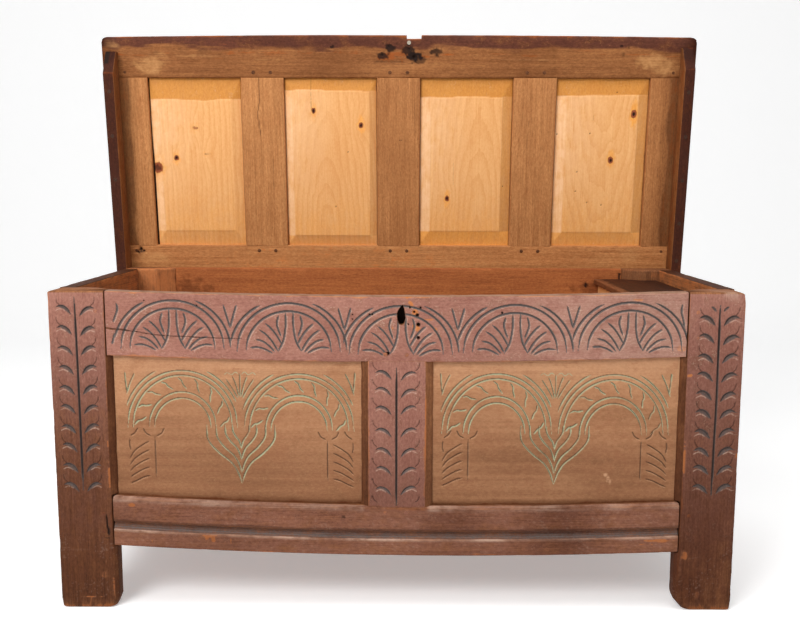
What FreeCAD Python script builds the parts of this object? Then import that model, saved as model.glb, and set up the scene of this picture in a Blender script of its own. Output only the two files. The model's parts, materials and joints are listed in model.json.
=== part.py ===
# Joined coffer chest: framed and panelled walls, a till inside and a framed lid on wooden pintles.
# It is built with the lid shut and the front face at y = 0, in millimetres. Then the lid is swung
# open and everything is moved so that the origin lies under the middle of the whole box.
import FreeCAD, Part
import math
import os

from FreeCAD import Vector

# Overall sizes of the chest without its lid
chest_width = 1300.0
chest_depth = 552.0
chest_height = 621.0

# Corner stiles, which run down to the floor as feet
stile_width = 105.0
back_stile_width = 114.0
stile_depth = 65.0
stile_hewn_width = 37.0
foot_height = 123.0
foot_round = 10.0
worn_foot_round = 24.0

# Rails and muntins of the walls
rail_thickness = 32.0
top_rail_height = 122.0
bottom_rail_height = 99.0
muntin_width = 132.0
back_muntin_width = 106.0
stile_chamfer_width = 11.0
muntin_chamfer_width = 14.0
chamfer_depth = 8.0

# The front rails have sagged between their shoulders
top_edge_sag = 9.0
top_rail_sag = 11.0
bottom_rail_sag = 14.0

# Moulding and eased top edge of the front bottom rail
moulding_rise = 29.0
moulding_height = 19.0
moulding_step = 8.0
moulding_depth = 6.0
moulding_shallow_depth = 3.0
rail_ease = 5.0

# Mortise and tenon joints of the walls
tenon_length = 38.0
tenon_thickness = 10.0
tenon_margin = 14.0
muntin_tenon_length = 30.0
muntin_tenon_margin = 20.0
joint_clearance = 0.2
tenon_end_clearance = 0.5

# Panels and the grooves that hold them
panel_recess = 10.0
panel_thickness = 14.0
panel_tongue = 7.0
panel_engagement = 8.0
panel_field_margin = 12.0
groove_depth = 10.0
groove_clearance = 0.2

# Pegs
peg_diameter = 9.0
peg_length = 42.0
peg_clearance = 0.05
peg_setback = 17.0
muntin_peg_spacing = 40.0
muntin_peg_setback = 14.0
peg_height_shares = (0.25, 0.75)

# Keyhole
keyhole_x = 9.5
keyhole_drop = 44.0
keyhole_width = 15.0
keyhole_height = 39.0

# Floor of the chest
floor_height = 150.0
floor_thickness = 14.0
floor_board_count = 6
floor_board_gap = 1.0
floor_housing = 9.0
floor_notch_clearance = 1.5

# Till at the right end
till_width = 137.0
till_board = 12.0
till_inside_height = 52.7
till_side_below = 8.0
till_housing = 6.0
till_lid_drop = 24.0
till_lid_thickness = 12.0
till_lid_overhang = 11.0
till_lid_end_gap = 6.0
till_lid_side_gap = 1.5
till_lid_stile_gap = 3.0
till_lid_rest_gap = 0.3
till_pintle_diameter = 8.0
till_pintle_length = 10.0
till_pintle_clearance = 0.08
till_pintle_setback = 8.0

# Lid
lid_thickness = 24.0
lid_front_overhang = 27.0
lid_rear_overhang = 24.0
lid_end_overhang = 40.0
lid_front_rail_width = 93.0
lid_rear_rail_width = 116.0
lid_end_stile_width = 103.0
lid_panel_count = 4
lid_muntin_width = 102.0
lid_open_angle = 84.0
lid_seat_gap = 0.5
lid_tenon_length = 45.0
lid_tenon_thickness = 8.0
lid_tenon_margin = 16.0
lid_peg_setback = 13.0
lid_peg_spacing = 40.0

# Lid panels, fielded on the underside with bevels of uneven width
lid_panel_field_recess = 2.0
lid_panel_bevel_drop = 7.0
lid_panel_tongue = 6.0
lid_front_bevels = (50.0, 28.0, 43.0, 38.0)
lid_rear_bevels = (35.0, 24.0, 35.0, 33.0)
lid_side_bevels = (23.0, 17.0, 24.0, 25.0)

# Hasp notch in the lid's front edge, and the one rivet left beside it
notch_left = 19.0
notch_width = 34.0
notch_depth = 7.0
rivet_x = 24.0
rivet_setback = 13.0
rivet_head_diameter = 9.0
rivet_head_height = 1.5
rivet_shank_diameter = 4.0
rivet_shank_length = 15.0

# Cleats under the lid's ends and the pintles that they turn on
cleat_width = 25.0
cleat_height = 45.0
cleat_gap = 2.0
cleat_setback = 34.0
cleat_snipe_length = 48.0
cleat_snipe_height = 12.0
cleat_tail = 30.0
pivot_drop = 26.0
pivot_inset = 16.0
swing_clearance = 0.4
pintle_diameter = 14.0
pintle_depth = 35.0
pintle_proud = 3.0
pintle_fit_clearance = 0.05
pintle_running_clearance = 0.1
nail_diameter = 4.0
nail_head_diameter = 9.0
nail_head_height = 2.0
nail_grip = 12.0
nail_place_shares = (0.16, 0.34, 0.52, 0.70, 0.86)

# One overrun for all cuts that pass through a face
overrun = 5.0

# Derived places
half_width = chest_width / 2
shoulder_x = half_width - stile_width
lip_x = shoulder_x - stile_chamfer_width
back_shoulder_x = half_width - back_stile_width
end_inner_x = half_width - rail_thickness
top_rail_low = chest_height - top_rail_height
bottom_rail_top = foot_height + bottom_rail_height
back_inner_y = chest_depth - rail_thickness
tenon_inset = (rail_thickness - tenon_thickness) / 2
lid_under = chest_height + lid_seat_gap
pivot_y = chest_depth - pivot_inset
pivot_z = lid_under - pivot_drop
lid_half_width = half_width + lid_end_overhang
keyhole_z = chest_height - keyhole_drop
till_side_x = end_inner_x - till_width
till_lid_top = chest_height - till_lid_drop
till_lid_low = till_lid_top - till_lid_thickness
till_bottom_low = till_lid_low - till_lid_rest_gap - till_inside_height - till_board
till_axis_x = end_inner_x - till_lid_end_gap - till_pintle_setback
till_axis_z = till_lid_low + till_lid_thickness / 2
open_angle = math.radians(lid_open_angle)
lid_tail = pivot_inset + lid_rear_overhang
lid_back_reach = lid_tail * math.cos(open_angle)
lid_back_reach = lid_back_reach + (pivot_drop + lid_thickness) * math.sin(open_angle)
origin_y = (pivot_y + lid_back_reach) / 2

pegs = {}
nodes = {}


# Basic solids

def box(xa, xb, ya, yb, za, zb):
    """Block between two corners, given in any order."""
    low = Vector(min(xa, xb), min(ya, yb), min(za, zb))
    return Part.makeBox(abs(xb - xa), abs(yb - ya), abs(zb - za), low)


def rod(start, direction, diameter, length):
    """Round bar from a point along a direction."""
    return Part.makeCylinder(diameter / 2, length, start, direction)


def prism(points, along):
    """Polygon pushed along a vector."""
    outline = Part.makePolygon(points + [points[0]])
    return Part.Face(outline).extrude(along)


def sagged_edge(height, sag):
    """Arc between the front shoulders that hangs down in the middle."""
    left = Vector(-shoulder_x, 0, height)
    middle = Vector(0, 0, height - sag)
    right = Vector(shoulder_x, 0, height)
    return Part.Arc(left, middle, right).toShape()


def sagged_slab(low, low_sag, high, high_sag, ya, yb):
    """Slab between two sagged edges, from one depth to another."""
    ends = []
    for x in (-shoulder_x, shoulder_x):
        ends.append(Part.makeLine(Vector(x, 0, low), Vector(x, 0, high)))
    edges = [sagged_edge(low, low_sag), sagged_edge(high, high_sag)] + ends
    outline = Part.Wire(Part.__sortEdges__(edges))
    slab = Part.Face(outline).extrude(Vector(0, yb - ya, 0))
    slab.translate(Vector(0, ya, 0))
    return slab


def front_opening(ya, yb, grow):
    """Space between the front rails, grown into them by a margin."""
    low = bottom_rail_top - grow
    high = top_rail_low + grow
    return sagged_slab(low, bottom_rail_sag, high, top_rail_sag, ya, yb)


# Joints

def cut_mortise(node, tenon, length_axis):
    """Cuts a mortise for a tenon block, with clearance on its cheeks and at its end."""
    bounds = tenon.BoundBox
    grow = [joint_clearance, joint_clearance, joint_clearance]
    grow["xyz".index(length_axis)] = tenon_end_clearance
    hole = box(
        bounds.XMin - grow[0], bounds.XMax + grow[0],
        bounds.YMin - grow[1], bounds.YMax + grow[1],
        bounds.ZMin - grow[2], bounds.ZMax + grow[2],
    )
    nodes[node] = nodes[node].cut(hole)


def add_peg(group, hosts, start, direction, length):
    """Bores the hosts for one peg and adds the peg to its group."""
    hole_diameter = peg_diameter + 2 * peg_clearance
    hole = rod(start - direction * overrun, direction, hole_diameter, length + overrun)
    for host in hosts:
        nodes[host] = nodes[host].cut(hole)
    pegs.setdefault(group, []).append(rod(start, direction, peg_diameter, length))


# Corner stiles

def stile_section(side, front, width, spare):
    """Five-sided plan of a stile, its inner corner hewn away; spare grows the inner faces."""
    outer = side * half_width
    inner = side * (half_width - width - spare)
    hewn = side * (half_width - width + stile_hewn_width - spare)
    depths = (0, rail_thickness + spare, stile_depth + spare)
    ys = depths if front else [chest_depth - depth for depth in depths]
    return [
        Vector(outer, ys[0], 0),
        Vector(inner, ys[0], 0),
        Vector(inner, ys[1], 0),
        Vector(hewn, ys[2], 0),
        Vector(outer, ys[2], 0),
    ]


def round_foot(stile, x, inward, radius):
    """Rounds one lower corner of a foot, seen from the front."""
    corner = box(x - inward * overrun, x + inward * radius, 0, chest_depth, -overrun, radius)
    centre = Vector(x + inward * radius, -overrun, radius)
    barrel = rod(centre, Vector(0, 1, 0), 2 * radius, chest_depth + 2 * overrun)
    return stile.cut(corner.cut(barrel))


def make_stile(side, front):
    width = stile_width if front else back_stile_width
    stile = prism(stile_section(side, front, width, 0), Vector(0, 0, chest_height))
    inner_round = worn_foot_round if front and side > 0 else foot_round
    stile = round_foot(stile, side * half_width, -side, foot_round)
    stile = round_foot(stile, side * (half_width - width), side, inner_round)
    if front:
        stile = stile.fuse(make_stile_lip(side))
    return stile.removeSplitter()


def make_stile_lip(side):
    """Chamfered strip beside the panel: the rails' shoulders are scribed over it."""
    lip = front_opening(0, rail_thickness, 0)
    lip = lip.common(box(side * lip_x, side * shoulder_x, 0, rail_thickness, 0, chest_height))
    chamfer = [
        Vector(side * lip_x, 0, 0),
        Vector(side * lip_x, chamfer_depth, 0),
        Vector(side * shoulder_x, 0, 0),
    ]
    return lip.cut(prism(chamfer, Vector(0, 0, chest_height)))


def make_stiles():
    for name, side in (("left", -1), ("right", 1)):
        nodes["front_" + name + "_stile"] = make_stile(side, True)
        nodes["back_" + name + "_stile"] = make_stile(side, False)


# Front and back walls

def make_front_frame():
    nodes["front_top_rail"] = sagged_slab(
        top_rail_low, top_rail_sag, chest_height, top_edge_sag, 0, rail_thickness
    )
    bottom = sagged_slab(
        foot_height, bottom_rail_sag, bottom_rail_top, bottom_rail_sag, 0, rail_thickness
    )
    bottom = bottom.makeChamfer(rail_ease, [top_front_edge(bottom)])
    nodes["front_bottom_rail"] = cut_moulding(bottom)
    muntin = front_opening(0, rail_thickness, 0)
    half = muntin_width / 2
    muntin = muntin.common(box(-half, half, 0, rail_thickness, 0, chest_height))
    for side in (-1, 1):
        chamfer = [
            Vector(side * half, 0, 0),
            Vector(side * half, chamfer_depth, 0),
            Vector(side * (half - muntin_chamfer_width), 0, 0),
        ]
        muntin = muntin.cut(prism(chamfer, Vector(0, 0, chest_height)))
    nodes["front_muntin"] = muntin


def top_front_edge(rail):
    """The long upper edge of a sagged rail's face."""
    long_edges = [edge for edge in rail.Edges if edge.Length > shoulder_x]
    return max(long_edges, key=lambda edge: edge.CenterOfMass.z - edge.CenterOfMass.y)


def cut_moulding(rail):
    """Run moulding: a shallow channel with a deeper quirk along its top."""
    low = foot_height + moulding_rise
    quirk = low + moulding_step
    high = low + moulding_height
    sag = bottom_rail_sag
    shallow = sagged_slab(low, sag, high, sag, -overrun, moulding_shallow_depth)
    deep = sagged_slab(quirk, sag, high, sag, -overrun, moulding_depth)
    return rail.cut(shallow).cut(deep)


def make_back_frame():
    span = (-back_shoulder_x, back_shoulder_x, back_inner_y, chest_depth)
    nodes["back_top_rail"] = box(*span, top_rail_low, chest_height)
    nodes["back_bottom_rail"] = box(*span, foot_height, bottom_rail_top)
    half = back_muntin_width / 2
    nodes["back_muntin"] = box(-half, half, back_inner_y, chest_depth, bottom_rail_top, top_rail_low)


def join_wall(wall, shoulder, face_y, inward, post_width, post_middle_low, post_middle_high):
    """Tenons, mortises and pegs of the front or back wall."""
    tenon_ys = (face_y + inward * tenon_inset, face_y + inward * (tenon_inset + tenon_thickness))
    drive = Vector(0, inward, 0)
    rails = (
        (wall + "_top_rail", top_rail_low, chest_height, post_middle_high, 1),
        (wall + "_bottom_rail", foot_height, bottom_rail_top, post_middle_low, -1),
    )
    muntin = wall + "_muntin"
    for rail, low, high, seam, way in rails:
        low = low + tenon_margin
        high = high - tenon_margin
        for side, name in ((-1, "left"), (1, "right")):
            stile = wall + "_" + name + "_stile"
            tenon = box(side * shoulder, side * (shoulder + tenon_length), *tenon_ys, low, high)
            nodes[rail] = nodes[rail].fuse(tenon)
            cut_mortise(stile, tenon, "x")
            for share in peg_height_shares:
                start = Vector(side * (shoulder + peg_setback), face_y, low + share * (high - low))
                add_peg(wall + "_pegs", (stile, rail), start, drive, peg_length)
        half = post_width / 2 - muntin_tenon_margin
        tenon = box(-half, half, *tenon_ys, seam - way * overrun, seam + way * muntin_tenon_length)
        nodes[muntin] = nodes[muntin].fuse(tenon)
        cut_mortise(rail, tenon, "z")
        for side in (-1, 1):
            start = Vector(side * muntin_peg_spacing / 2, face_y, seam + way * muntin_peg_setback)
            add_peg(wall + "_pegs", (muntin, rail), start, drive, rail_thickness)


def front_panel_spans():
    half = muntin_width / 2
    return {"left": (-lip_x, -half), "right": (half, lip_x)}


def back_panel_spans():
    half = back_muntin_width / 2
    return {"left": (-back_shoulder_x, -half), "right": (half, back_shoulder_x)}


def make_front_panels():
    face = panel_recess
    tongue_back = face + panel_tongue
    for name, (left, right) in front_panel_spans().items():
        tongue = front_opening(face, tongue_back, panel_engagement)
        reach = panel_engagement
        tongue = tongue.common(box(left - reach, right + reach, 0, chest_depth, 0, chest_height))
        margin = panel_field_margin
        field = front_opening(face, face + panel_thickness, -margin)
        field = field.common(box(left + margin, right - margin, 0, chest_depth, 0, chest_height))
        nodes["front_" + name + "_panel"] = tongue.fuse(field).removeSplitter()
        groove = front_opening(face - groove_clearance, tongue_back + groove_clearance, groove_depth)
        reach = groove_depth
        groove = groove.common(box(left - reach, right + reach, 0, chest_depth, 0, chest_height))
        for host in ("front_top_rail", "front_bottom_rail", "front_muntin", "front_" + name + "_stile"):
            nodes[host] = nodes[host].cut(groove)


def flat_panel(left, right, low, high):
    """Tongue, field and groove of a panel lying in the plane z = 0, facing down."""
    reach = panel_engagement
    margin = panel_field_margin
    tongue = box(left - reach, right + reach, low - reach, high + reach, 0, panel_tongue)
    field = box(left + margin, right - margin, low + margin, high - margin, 0, panel_thickness)
    reach = groove_depth
    slack = groove_clearance
    groove = box(left - reach, right + reach, low - reach, high + reach, -slack, panel_tongue + slack)
    return tongue.fuse(field).removeSplitter(), groove


def make_back_panels():
    for name, (left, right) in back_panel_spans().items():
        panel, groove = flat_panel(left, right, bottom_rail_top, top_rail_low)
        for shape in (panel, groove):
            shape.rotate(Vector(0, 0, 0), Vector(1, 0, 0), 90)
            shape.translate(Vector(0, chest_depth - panel_recess, 0))
        nodes["back_" + name + "_panel"] = panel
        for host in ("back_top_rail", "back_bottom_rail", "back_muntin", "back_" + name + "_stile"):
            nodes[host] = nodes[host].cut(groove)


# Ends

def make_end(name, side):
    front_y = stile_depth
    back_y = chest_depth - stile_depth
    outer = side * half_width
    inner = side * end_inner_x
    tenon_xs = (side * (half_width - tenon_inset), side * (half_width - tenon_inset - tenon_thickness))
    rails = ((name + "_end_top_rail", top_rail_low, chest_height),
             (name + "_end_bottom_rail", foot_height, bottom_rail_top))
    for rail, low, high in rails:
        nodes[rail] = box(outer, inner, front_y, back_y, low, high)
        low = low + tenon_margin
        high = high - tenon_margin
        for wall, seam, way in (("front_", front_y, -1), ("back_", back_y, 1)):
            stile = wall + name + "_stile"
            tenon = box(*tenon_xs, seam, seam + way * tenon_length, low, high)
            nodes[rail] = nodes[rail].fuse(tenon)
            cut_mortise(stile, tenon, "y")
            for share in peg_height_shares:
                start = Vector(outer, seam + way * peg_setback, low + share * (high - low))
                add_peg(name + "_end_pegs", (stile, rail), start, Vector(-side, 0, 0), peg_length)
    panel, groove = flat_panel(front_y, back_y, bottom_rail_top, top_rail_low)
    for shape in (panel, groove):
        shape.rotate(Vector(0, 0, 0), Vector(1, 0, 0), 90)
        shape.rotate(Vector(0, 0, 0), Vector(0, 0, 1), 90)
        if side > 0:
            shape.rotate(Vector(0, chest_depth / 2, 0), Vector(0, 0, 1), 180)
        shape.translate(Vector(side * (half_width - panel_recess), 0, 0))
    nodes[name + "_end_panel"] = panel
    hosts = [rail for rail, low, high in rails]
    for host in hosts + ["front_" + name + "_stile", "back_" + name + "_stile"]:
        nodes[host] = nodes[host].cut(groove)


# Floor, keyhole and till

def make_floor():
    low = floor_height
    high = floor_height + floor_thickness
    front_y = rail_thickness - floor_housing
    back_y = back_inner_y + floor_housing
    slack = joint_clearance
    front_groove = box(-shoulder_x, shoulder_x, front_y - slack, rail_thickness, low - slack, high + slack)
    back_groove = box(-back_shoulder_x, back_shoulder_x, back_inner_y, back_y + slack,
                      low - slack, high + slack)
    nodes["front_bottom_rail"] = nodes["front_bottom_rail"].cut(front_groove)
    nodes["back_bottom_rail"] = nodes["back_bottom_rail"].cut(back_groove)
    pitch = 2 * end_inner_x / floor_board_count
    for index in range(floor_board_count):
        left = -end_inner_x + index * pitch + floor_board_gap / 2
        board = box(left, left + pitch - floor_board_gap, front_y, back_y, low, high)
        for side in (-1, 1):
            board = board.cut(stile_clearance(side, True))
            board = board.cut(stile_clearance(side, False))
        nodes["floor_board_" + str(index + 1)] = board


def stile_clearance(side, front):
    width = stile_width + stile_chamfer_width if front else back_stile_width
    section = stile_section(side, front, width, floor_notch_clearance)
    return prism(section, Vector(0, 0, chest_height))


def cut_keyhole():
    radius = keyhole_width / 2
    rise = keyhole_height / 2 - radius
    left = keyhole_x - radius
    slot = box(left, left + keyhole_width, -overrun, rail_thickness + overrun,
               keyhole_z - rise, keyhole_z + rise)
    for way in (-1, 1):
        start = Vector(keyhole_x, -overrun, keyhole_z + way * rise)
        slot = slot.fuse(rod(start, Vector(0, 1, 0), keyhole_width, rail_thickness + 2 * overrun))
    nodes["front_top_rail"] = nodes["front_top_rail"].cut(slot)


def make_till():
    side_right = till_side_x + till_board
    side_low = till_bottom_low - till_side_below
    side_high = till_lid_low - till_lid_rest_gap
    front_y = rail_thickness - till_housing
    back_y = back_inner_y + till_housing
    side = box(till_side_x, side_right, front_y, back_y, side_low, side_high)
    bottom_high = till_bottom_low + till_board
    bottom_left = side_right - till_housing
    bottom = box(bottom_left, end_inner_x, front_y, back_y, till_bottom_low, bottom_high)
    for front in (True, False):
        bottom = bottom.cut(stile_clearance(1, front))
    slack = joint_clearance
    housings = (
        box(till_side_x - slack, side_right + slack, front_y - slack, back_y + slack,
            side_low - slack, side_high + slack),
        box(bottom_left, shoulder_x, front_y - slack, back_y + slack,
            till_bottom_low - slack, bottom_high + slack),
    )
    for rail in ("front_top_rail", "back_top_rail"):
        for housing in housings:
            nodes[rail] = nodes[rail].cut(housing)
    nodes["till_side"] = side.cut(housings[1])
    nodes["till_bottom"] = bottom


def make_till_lid():
    left = till_side_x - till_lid_overhang
    right = end_inner_x - till_lid_end_gap
    front_y = rail_thickness + till_lid_side_gap
    back_y = back_inner_y - till_lid_side_gap
    lid = box(left, right, front_y, back_y, till_lid_low, till_lid_top)
    face_front = stile_depth + till_lid_stile_gap
    face_back = chest_depth - stile_depth - till_lid_stile_gap
    for front, width in ((True, stile_width), (False, back_stile_width)):
        section = stile_section(1, front, width, till_lid_stile_gap)
        lid = lid.cut(prism(section, Vector(0, 0, chest_height)))
    length = till_pintle_length + till_lid_stile_gap
    for face, seat, way, stile in (
        (face_front, stile_depth, -1, "front_right_stile"),
        (face_back, chest_depth - stile_depth, 1, "back_right_stile"),
    ):
        direction = Vector(0, way, 0)
        start = Vector(till_axis_x, face, till_axis_z)
        lid = lid.fuse(rod(start, direction, till_pintle_diameter, length))
        mouth = Vector(till_axis_x, seat, till_axis_z)
        hole_diameter = till_pintle_diameter + 2 * till_pintle_clearance
        hole = rod(mouth, direction, hole_diameter, till_pintle_length + joint_clearance)
        nodes[stile] = nodes[stile].cut(hole)
    nodes["till_lid"] = lid.removeSplitter()


# Lid, built shut

def make_lid_frame():
    front = -lid_front_overhang
    back = chest_depth + lid_rear_overhang
    low = lid_under
    high = lid_under + lid_thickness
    front_seam = front + lid_front_rail_width
    back_seam = back - lid_rear_rail_width
    front_rail = box(-lid_half_width, lid_half_width, front, front_seam, low, high)
    notch = box(notch_left, notch_left + notch_width, front - overrun, front + notch_depth,
                low - overrun, high + overrun)
    nodes["lid_front_rail"] = front_rail.cut(notch)
    nodes["lid_rear_rail"] = box(-lid_half_width, lid_half_width, back_seam, back, low, high)
    for name, left, right in lid_uprights():
        nodes[name] = box(left, right, front_seam, back_seam, low, high)
        join_lid_upright(name, left, right, front_seam, back_seam)
    make_lid_panels(front_seam, back_seam)


def lid_uprights():
    """Name, left and right of each upright of the lid's frame, from left to right."""
    inner = lid_half_width - lid_end_stile_width
    pitch = (2 * inner + lid_muntin_width) / lid_panel_count
    uprights = [("lid_left_stile", -lid_half_width, -inner)]
    for index, name in enumerate(("lid_left_muntin", "lid_middle_muntin", "lid_right_muntin")):
        right = -inner + (index + 1) * pitch
        uprights.append((name, right - lid_muntin_width, right))
    uprights.append(("lid_right_stile", inner, lid_half_width))
    return uprights


def join_lid_upright(name, left, right, front_seam, back_seam):
    tenon_low = lid_under + (lid_thickness - lid_tenon_thickness) / 2
    tenon_high = tenon_low + lid_tenon_thickness
    middle = (left + right) / 2
    at_end = name in ("lid_left_stile", "lid_right_stile")
    peg_xs = (middle,) if at_end else (middle - lid_peg_spacing / 2, middle + lid_peg_spacing / 2)
    for rail, seam, way in (("lid_front_rail", front_seam, -1), ("lid_rear_rail", back_seam, 1)):
        tenon = box(left + lid_tenon_margin, right - lid_tenon_margin,
                    seam, seam + way * lid_tenon_length, tenon_low, tenon_high)
        nodes[name] = nodes[name].fuse(tenon)
        cut_mortise(rail, tenon, "y")
        for x in peg_xs:
            start = Vector(x, seam + way * lid_peg_setback, lid_under)
            add_peg("lid_pegs", (name, rail), start, Vector(0, 0, 1), lid_thickness)


def make_lid_panels(front_seam, back_seam):
    uprights = lid_uprights()
    field_low = lid_under + lid_panel_field_recess
    edge_low = field_low + lid_panel_bevel_drop
    edge_high = edge_low + lid_panel_tongue
    for index in range(len(uprights) - 1):
        left_name, start, left = uprights[index]
        right_name, right, end = uprights[index + 1]
        reach = panel_engagement
        tongue = box(left - reach, right + reach, front_seam - reach, back_seam + reach, edge_low, edge_high)
        side = lid_side_bevels[index]
        outer = rectangle(left, right, front_seam, back_seam, edge_low)
        inner = rectangle(left + side, right - side, front_seam + lid_front_bevels[index],
                          back_seam - lid_rear_bevels[index], field_low)
        raised = Part.makeLoft([outer, inner], True, True)
        nodes["lid_panel_" + str(index + 1)] = tongue.fuse(raised).removeSplitter()
        reach = groove_depth
        slack = groove_clearance
        groove = box(left - reach, right + reach, front_seam - reach, back_seam + reach,
                     edge_low - slack, edge_high + slack)
        for host in (left_name, right_name, "lid_front_rail", "lid_rear_rail"):
            nodes[host] = nodes[host].cut(groove)


def rectangle(left, right, front, back, height):
    corners = [(left, front), (right, front), (right, back), (left, back), (left, front)]
    return Part.makePolygon([Vector(x, y, height) for x, y in corners])


def make_rivet():
    """Flat-headed rivet in the lid's underside."""
    y = rivet_setback - lid_front_overhang
    up = Vector(0, 0, 1)
    head = rod(Vector(rivet_x, y, lid_under - rivet_head_height), up, rivet_head_diameter, rivet_head_height)
    shank = rod(Vector(rivet_x, y, lid_under), up, rivet_shank_diameter, rivet_shank_length)
    hole_diameter = rivet_shank_diameter + 2 * peg_clearance
    hole = rod(Vector(rivet_x, y, lid_under), up, hole_diameter, rivet_shank_length)
    nodes["lid_front_rail"] = nodes["lid_front_rail"].cut(hole)
    nodes["lid_rivet"] = head.fuse(shank)


# Cleats and pintles

def make_cleats():
    front = cleat_setback - lid_front_overhang
    back = pivot_y + cleat_tail
    low = lid_under - cleat_height
    near = half_width + cleat_gap
    profile = [
        Vector(0, front, lid_under),
        Vector(0, front, lid_under - cleat_snipe_height),
        Vector(0, front + cleat_snipe_length, low),
        Vector(0, pivot_y, low),
        Vector(0, back, lid_under - pivot_drop),
        Vector(0, back, lid_under),
    ]
    for name, side in (("left", -1), ("right", 1)):
        cleat = prism(profile, Vector(side * cleat_width, 0, 0))
        cleat.translate(Vector(side * near, 0, 0))
        nodes[name + "_cleat"] = cleat
        fit_pintle(name, side, near + cleat_width)
    for share in nail_place_shares:
        for name, side in (("left", -1), ("right", 1)):
            place = Vector(side * (near + cleat_width / 2), front + share * (back - front), low)
            add_nail(name, place)


def add_nail(name, place):
    """Nail driven up through a cleat into the lid's frame, its head let in flush."""
    up = Vector(0, 0, 1)
    length = cleat_height + nail_grip
    nail = rod(place, up, nail_head_diameter, nail_head_height).fuse(rod(place, up, nail_diameter, length))
    slack = 2 * peg_clearance
    hole = rod(place, up, nail_head_diameter + slack, nail_head_height)
    hole = hole.fuse(rod(place, up, nail_diameter + slack, length))
    for host in (name + "_cleat", "lid_" + name + "_stile", "lid_front_rail", "lid_rear_rail"):
        nodes[host] = nodes[host].cut(hole)
    pegs.setdefault("cleat_nails", []).append(nail)


def fit_pintle(name, side, cleat_outer):
    """Pin fixed in the rear stile, on which the cleat turns."""
    start = Vector(side * (half_width - pintle_depth), pivot_y, pivot_z)
    outward = Vector(side, 0, 0)
    length = cleat_outer + pintle_proud - (half_width - pintle_depth)
    nodes[name + "_pintle"] = rod(start, outward, pintle_diameter, length)
    stile = "back_" + name + "_stile"
    seat = rod(start, outward, pintle_diameter + 2 * pintle_fit_clearance, length)
    nodes[stile] = nodes[stile].cut(seat)
    bearing = rod(start, outward, pintle_diameter + 2 * pintle_running_clearance, length)
    nodes[name + "_cleat"] = nodes[name + "_cleat"].cut(bearing)


def round_back_for_swing():
    """Rounds the back's top edge about the pivot, so that the lid can swing past it."""
    length = 2 * (half_width + overrun)
    start = Vector(-half_width - overrun, pivot_y, pivot_z)
    barrel = rod(start, Vector(1, 0, 0), 2 * (pivot_drop - swing_clearance), length)
    corner = box(start.x, -start.x, pivot_y, chest_depth + overrun, pivot_z, chest_height + overrun)
    for node in ("back_top_rail", "back_left_stile", "back_right_stile"):
        nodes[node] = nodes[node].cut(corner.cut(barrel))


def build():
    make_stiles()
    make_front_frame()
    make_back_frame()
    low = bottom_rail_top - bottom_rail_sag
    high = top_rail_low - top_rail_sag
    join_wall("front", shoulder_x, 0, 1, muntin_width, low, high)
    join_wall("back", back_shoulder_x, chest_depth, -1, back_muntin_width, bottom_rail_top, top_rail_low)
    make_front_panels()
    make_back_panels()
    make_end("left", -1)
    make_end("right", 1)
    make_floor()
    cut_keyhole()
    make_till()
    make_till_lid()
    make_lid_frame()
    make_rivet()
    make_cleats()
    round_back_for_swing()
    for group, pieces in pegs.items():
        nodes[group] = Part.makeCompound(pieces)


lid_prefixes = ("lid_", "left_cleat", "right_cleat", "cleat_nails")


def export():
    """Swings the lid open, moves everything to the origin and writes each node."""
    os.makedirs("parts", exist_ok=True)
    for name, shape in nodes.items():
        if name.startswith(lid_prefixes):
            shape.rotate(Vector(0, pivot_y, pivot_z), Vector(1, 0, 0), -lid_open_angle)
        shape.translate(Vector(0, -origin_y, 0))
        shape.exportStep("parts/" + name + ".step")


build()
export()
print("origin behind the front face", round(origin_y, 3))
print("lid pivot", round(pivot_y - origin_y, 3), round(pivot_z, 3))
print("till lid axis", round(till_axis_x, 3), round(till_axis_z, 3))
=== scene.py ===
"""Looks of a joined coffer that stands open: worn red paint outside, bare wood and pine inside.
Boards are dense meshes in the place of their solids, with carving, wear and dents as real shape.
Lengths are in millimetres until a mesh is made, in the solids' frame: x right, y back, z up."""
import bpy
import json
import math
import numpy as np
from mathutils import Matrix, Vector


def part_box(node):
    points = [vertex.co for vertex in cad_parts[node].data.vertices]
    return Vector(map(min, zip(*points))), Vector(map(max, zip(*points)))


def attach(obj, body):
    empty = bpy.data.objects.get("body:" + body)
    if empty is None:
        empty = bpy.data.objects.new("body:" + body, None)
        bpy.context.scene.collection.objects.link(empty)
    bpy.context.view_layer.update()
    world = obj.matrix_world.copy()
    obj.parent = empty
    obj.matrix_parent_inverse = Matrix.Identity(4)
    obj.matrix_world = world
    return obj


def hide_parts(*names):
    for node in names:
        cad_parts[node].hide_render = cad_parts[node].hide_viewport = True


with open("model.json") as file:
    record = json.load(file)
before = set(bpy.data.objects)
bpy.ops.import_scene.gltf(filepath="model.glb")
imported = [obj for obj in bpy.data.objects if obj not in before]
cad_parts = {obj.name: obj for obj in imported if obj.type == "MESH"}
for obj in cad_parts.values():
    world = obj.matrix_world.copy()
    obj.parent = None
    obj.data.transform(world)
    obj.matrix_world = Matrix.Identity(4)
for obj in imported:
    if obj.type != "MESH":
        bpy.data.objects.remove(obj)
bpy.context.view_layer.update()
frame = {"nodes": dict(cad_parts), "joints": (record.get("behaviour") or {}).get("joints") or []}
MM = 0.001
X, Y, Z = range(3)


def span(node):
    """Lowest and highest corner of a node's solid."""
    low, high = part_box(node)
    return np.array(low) / MM, np.array(high) / MM


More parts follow.
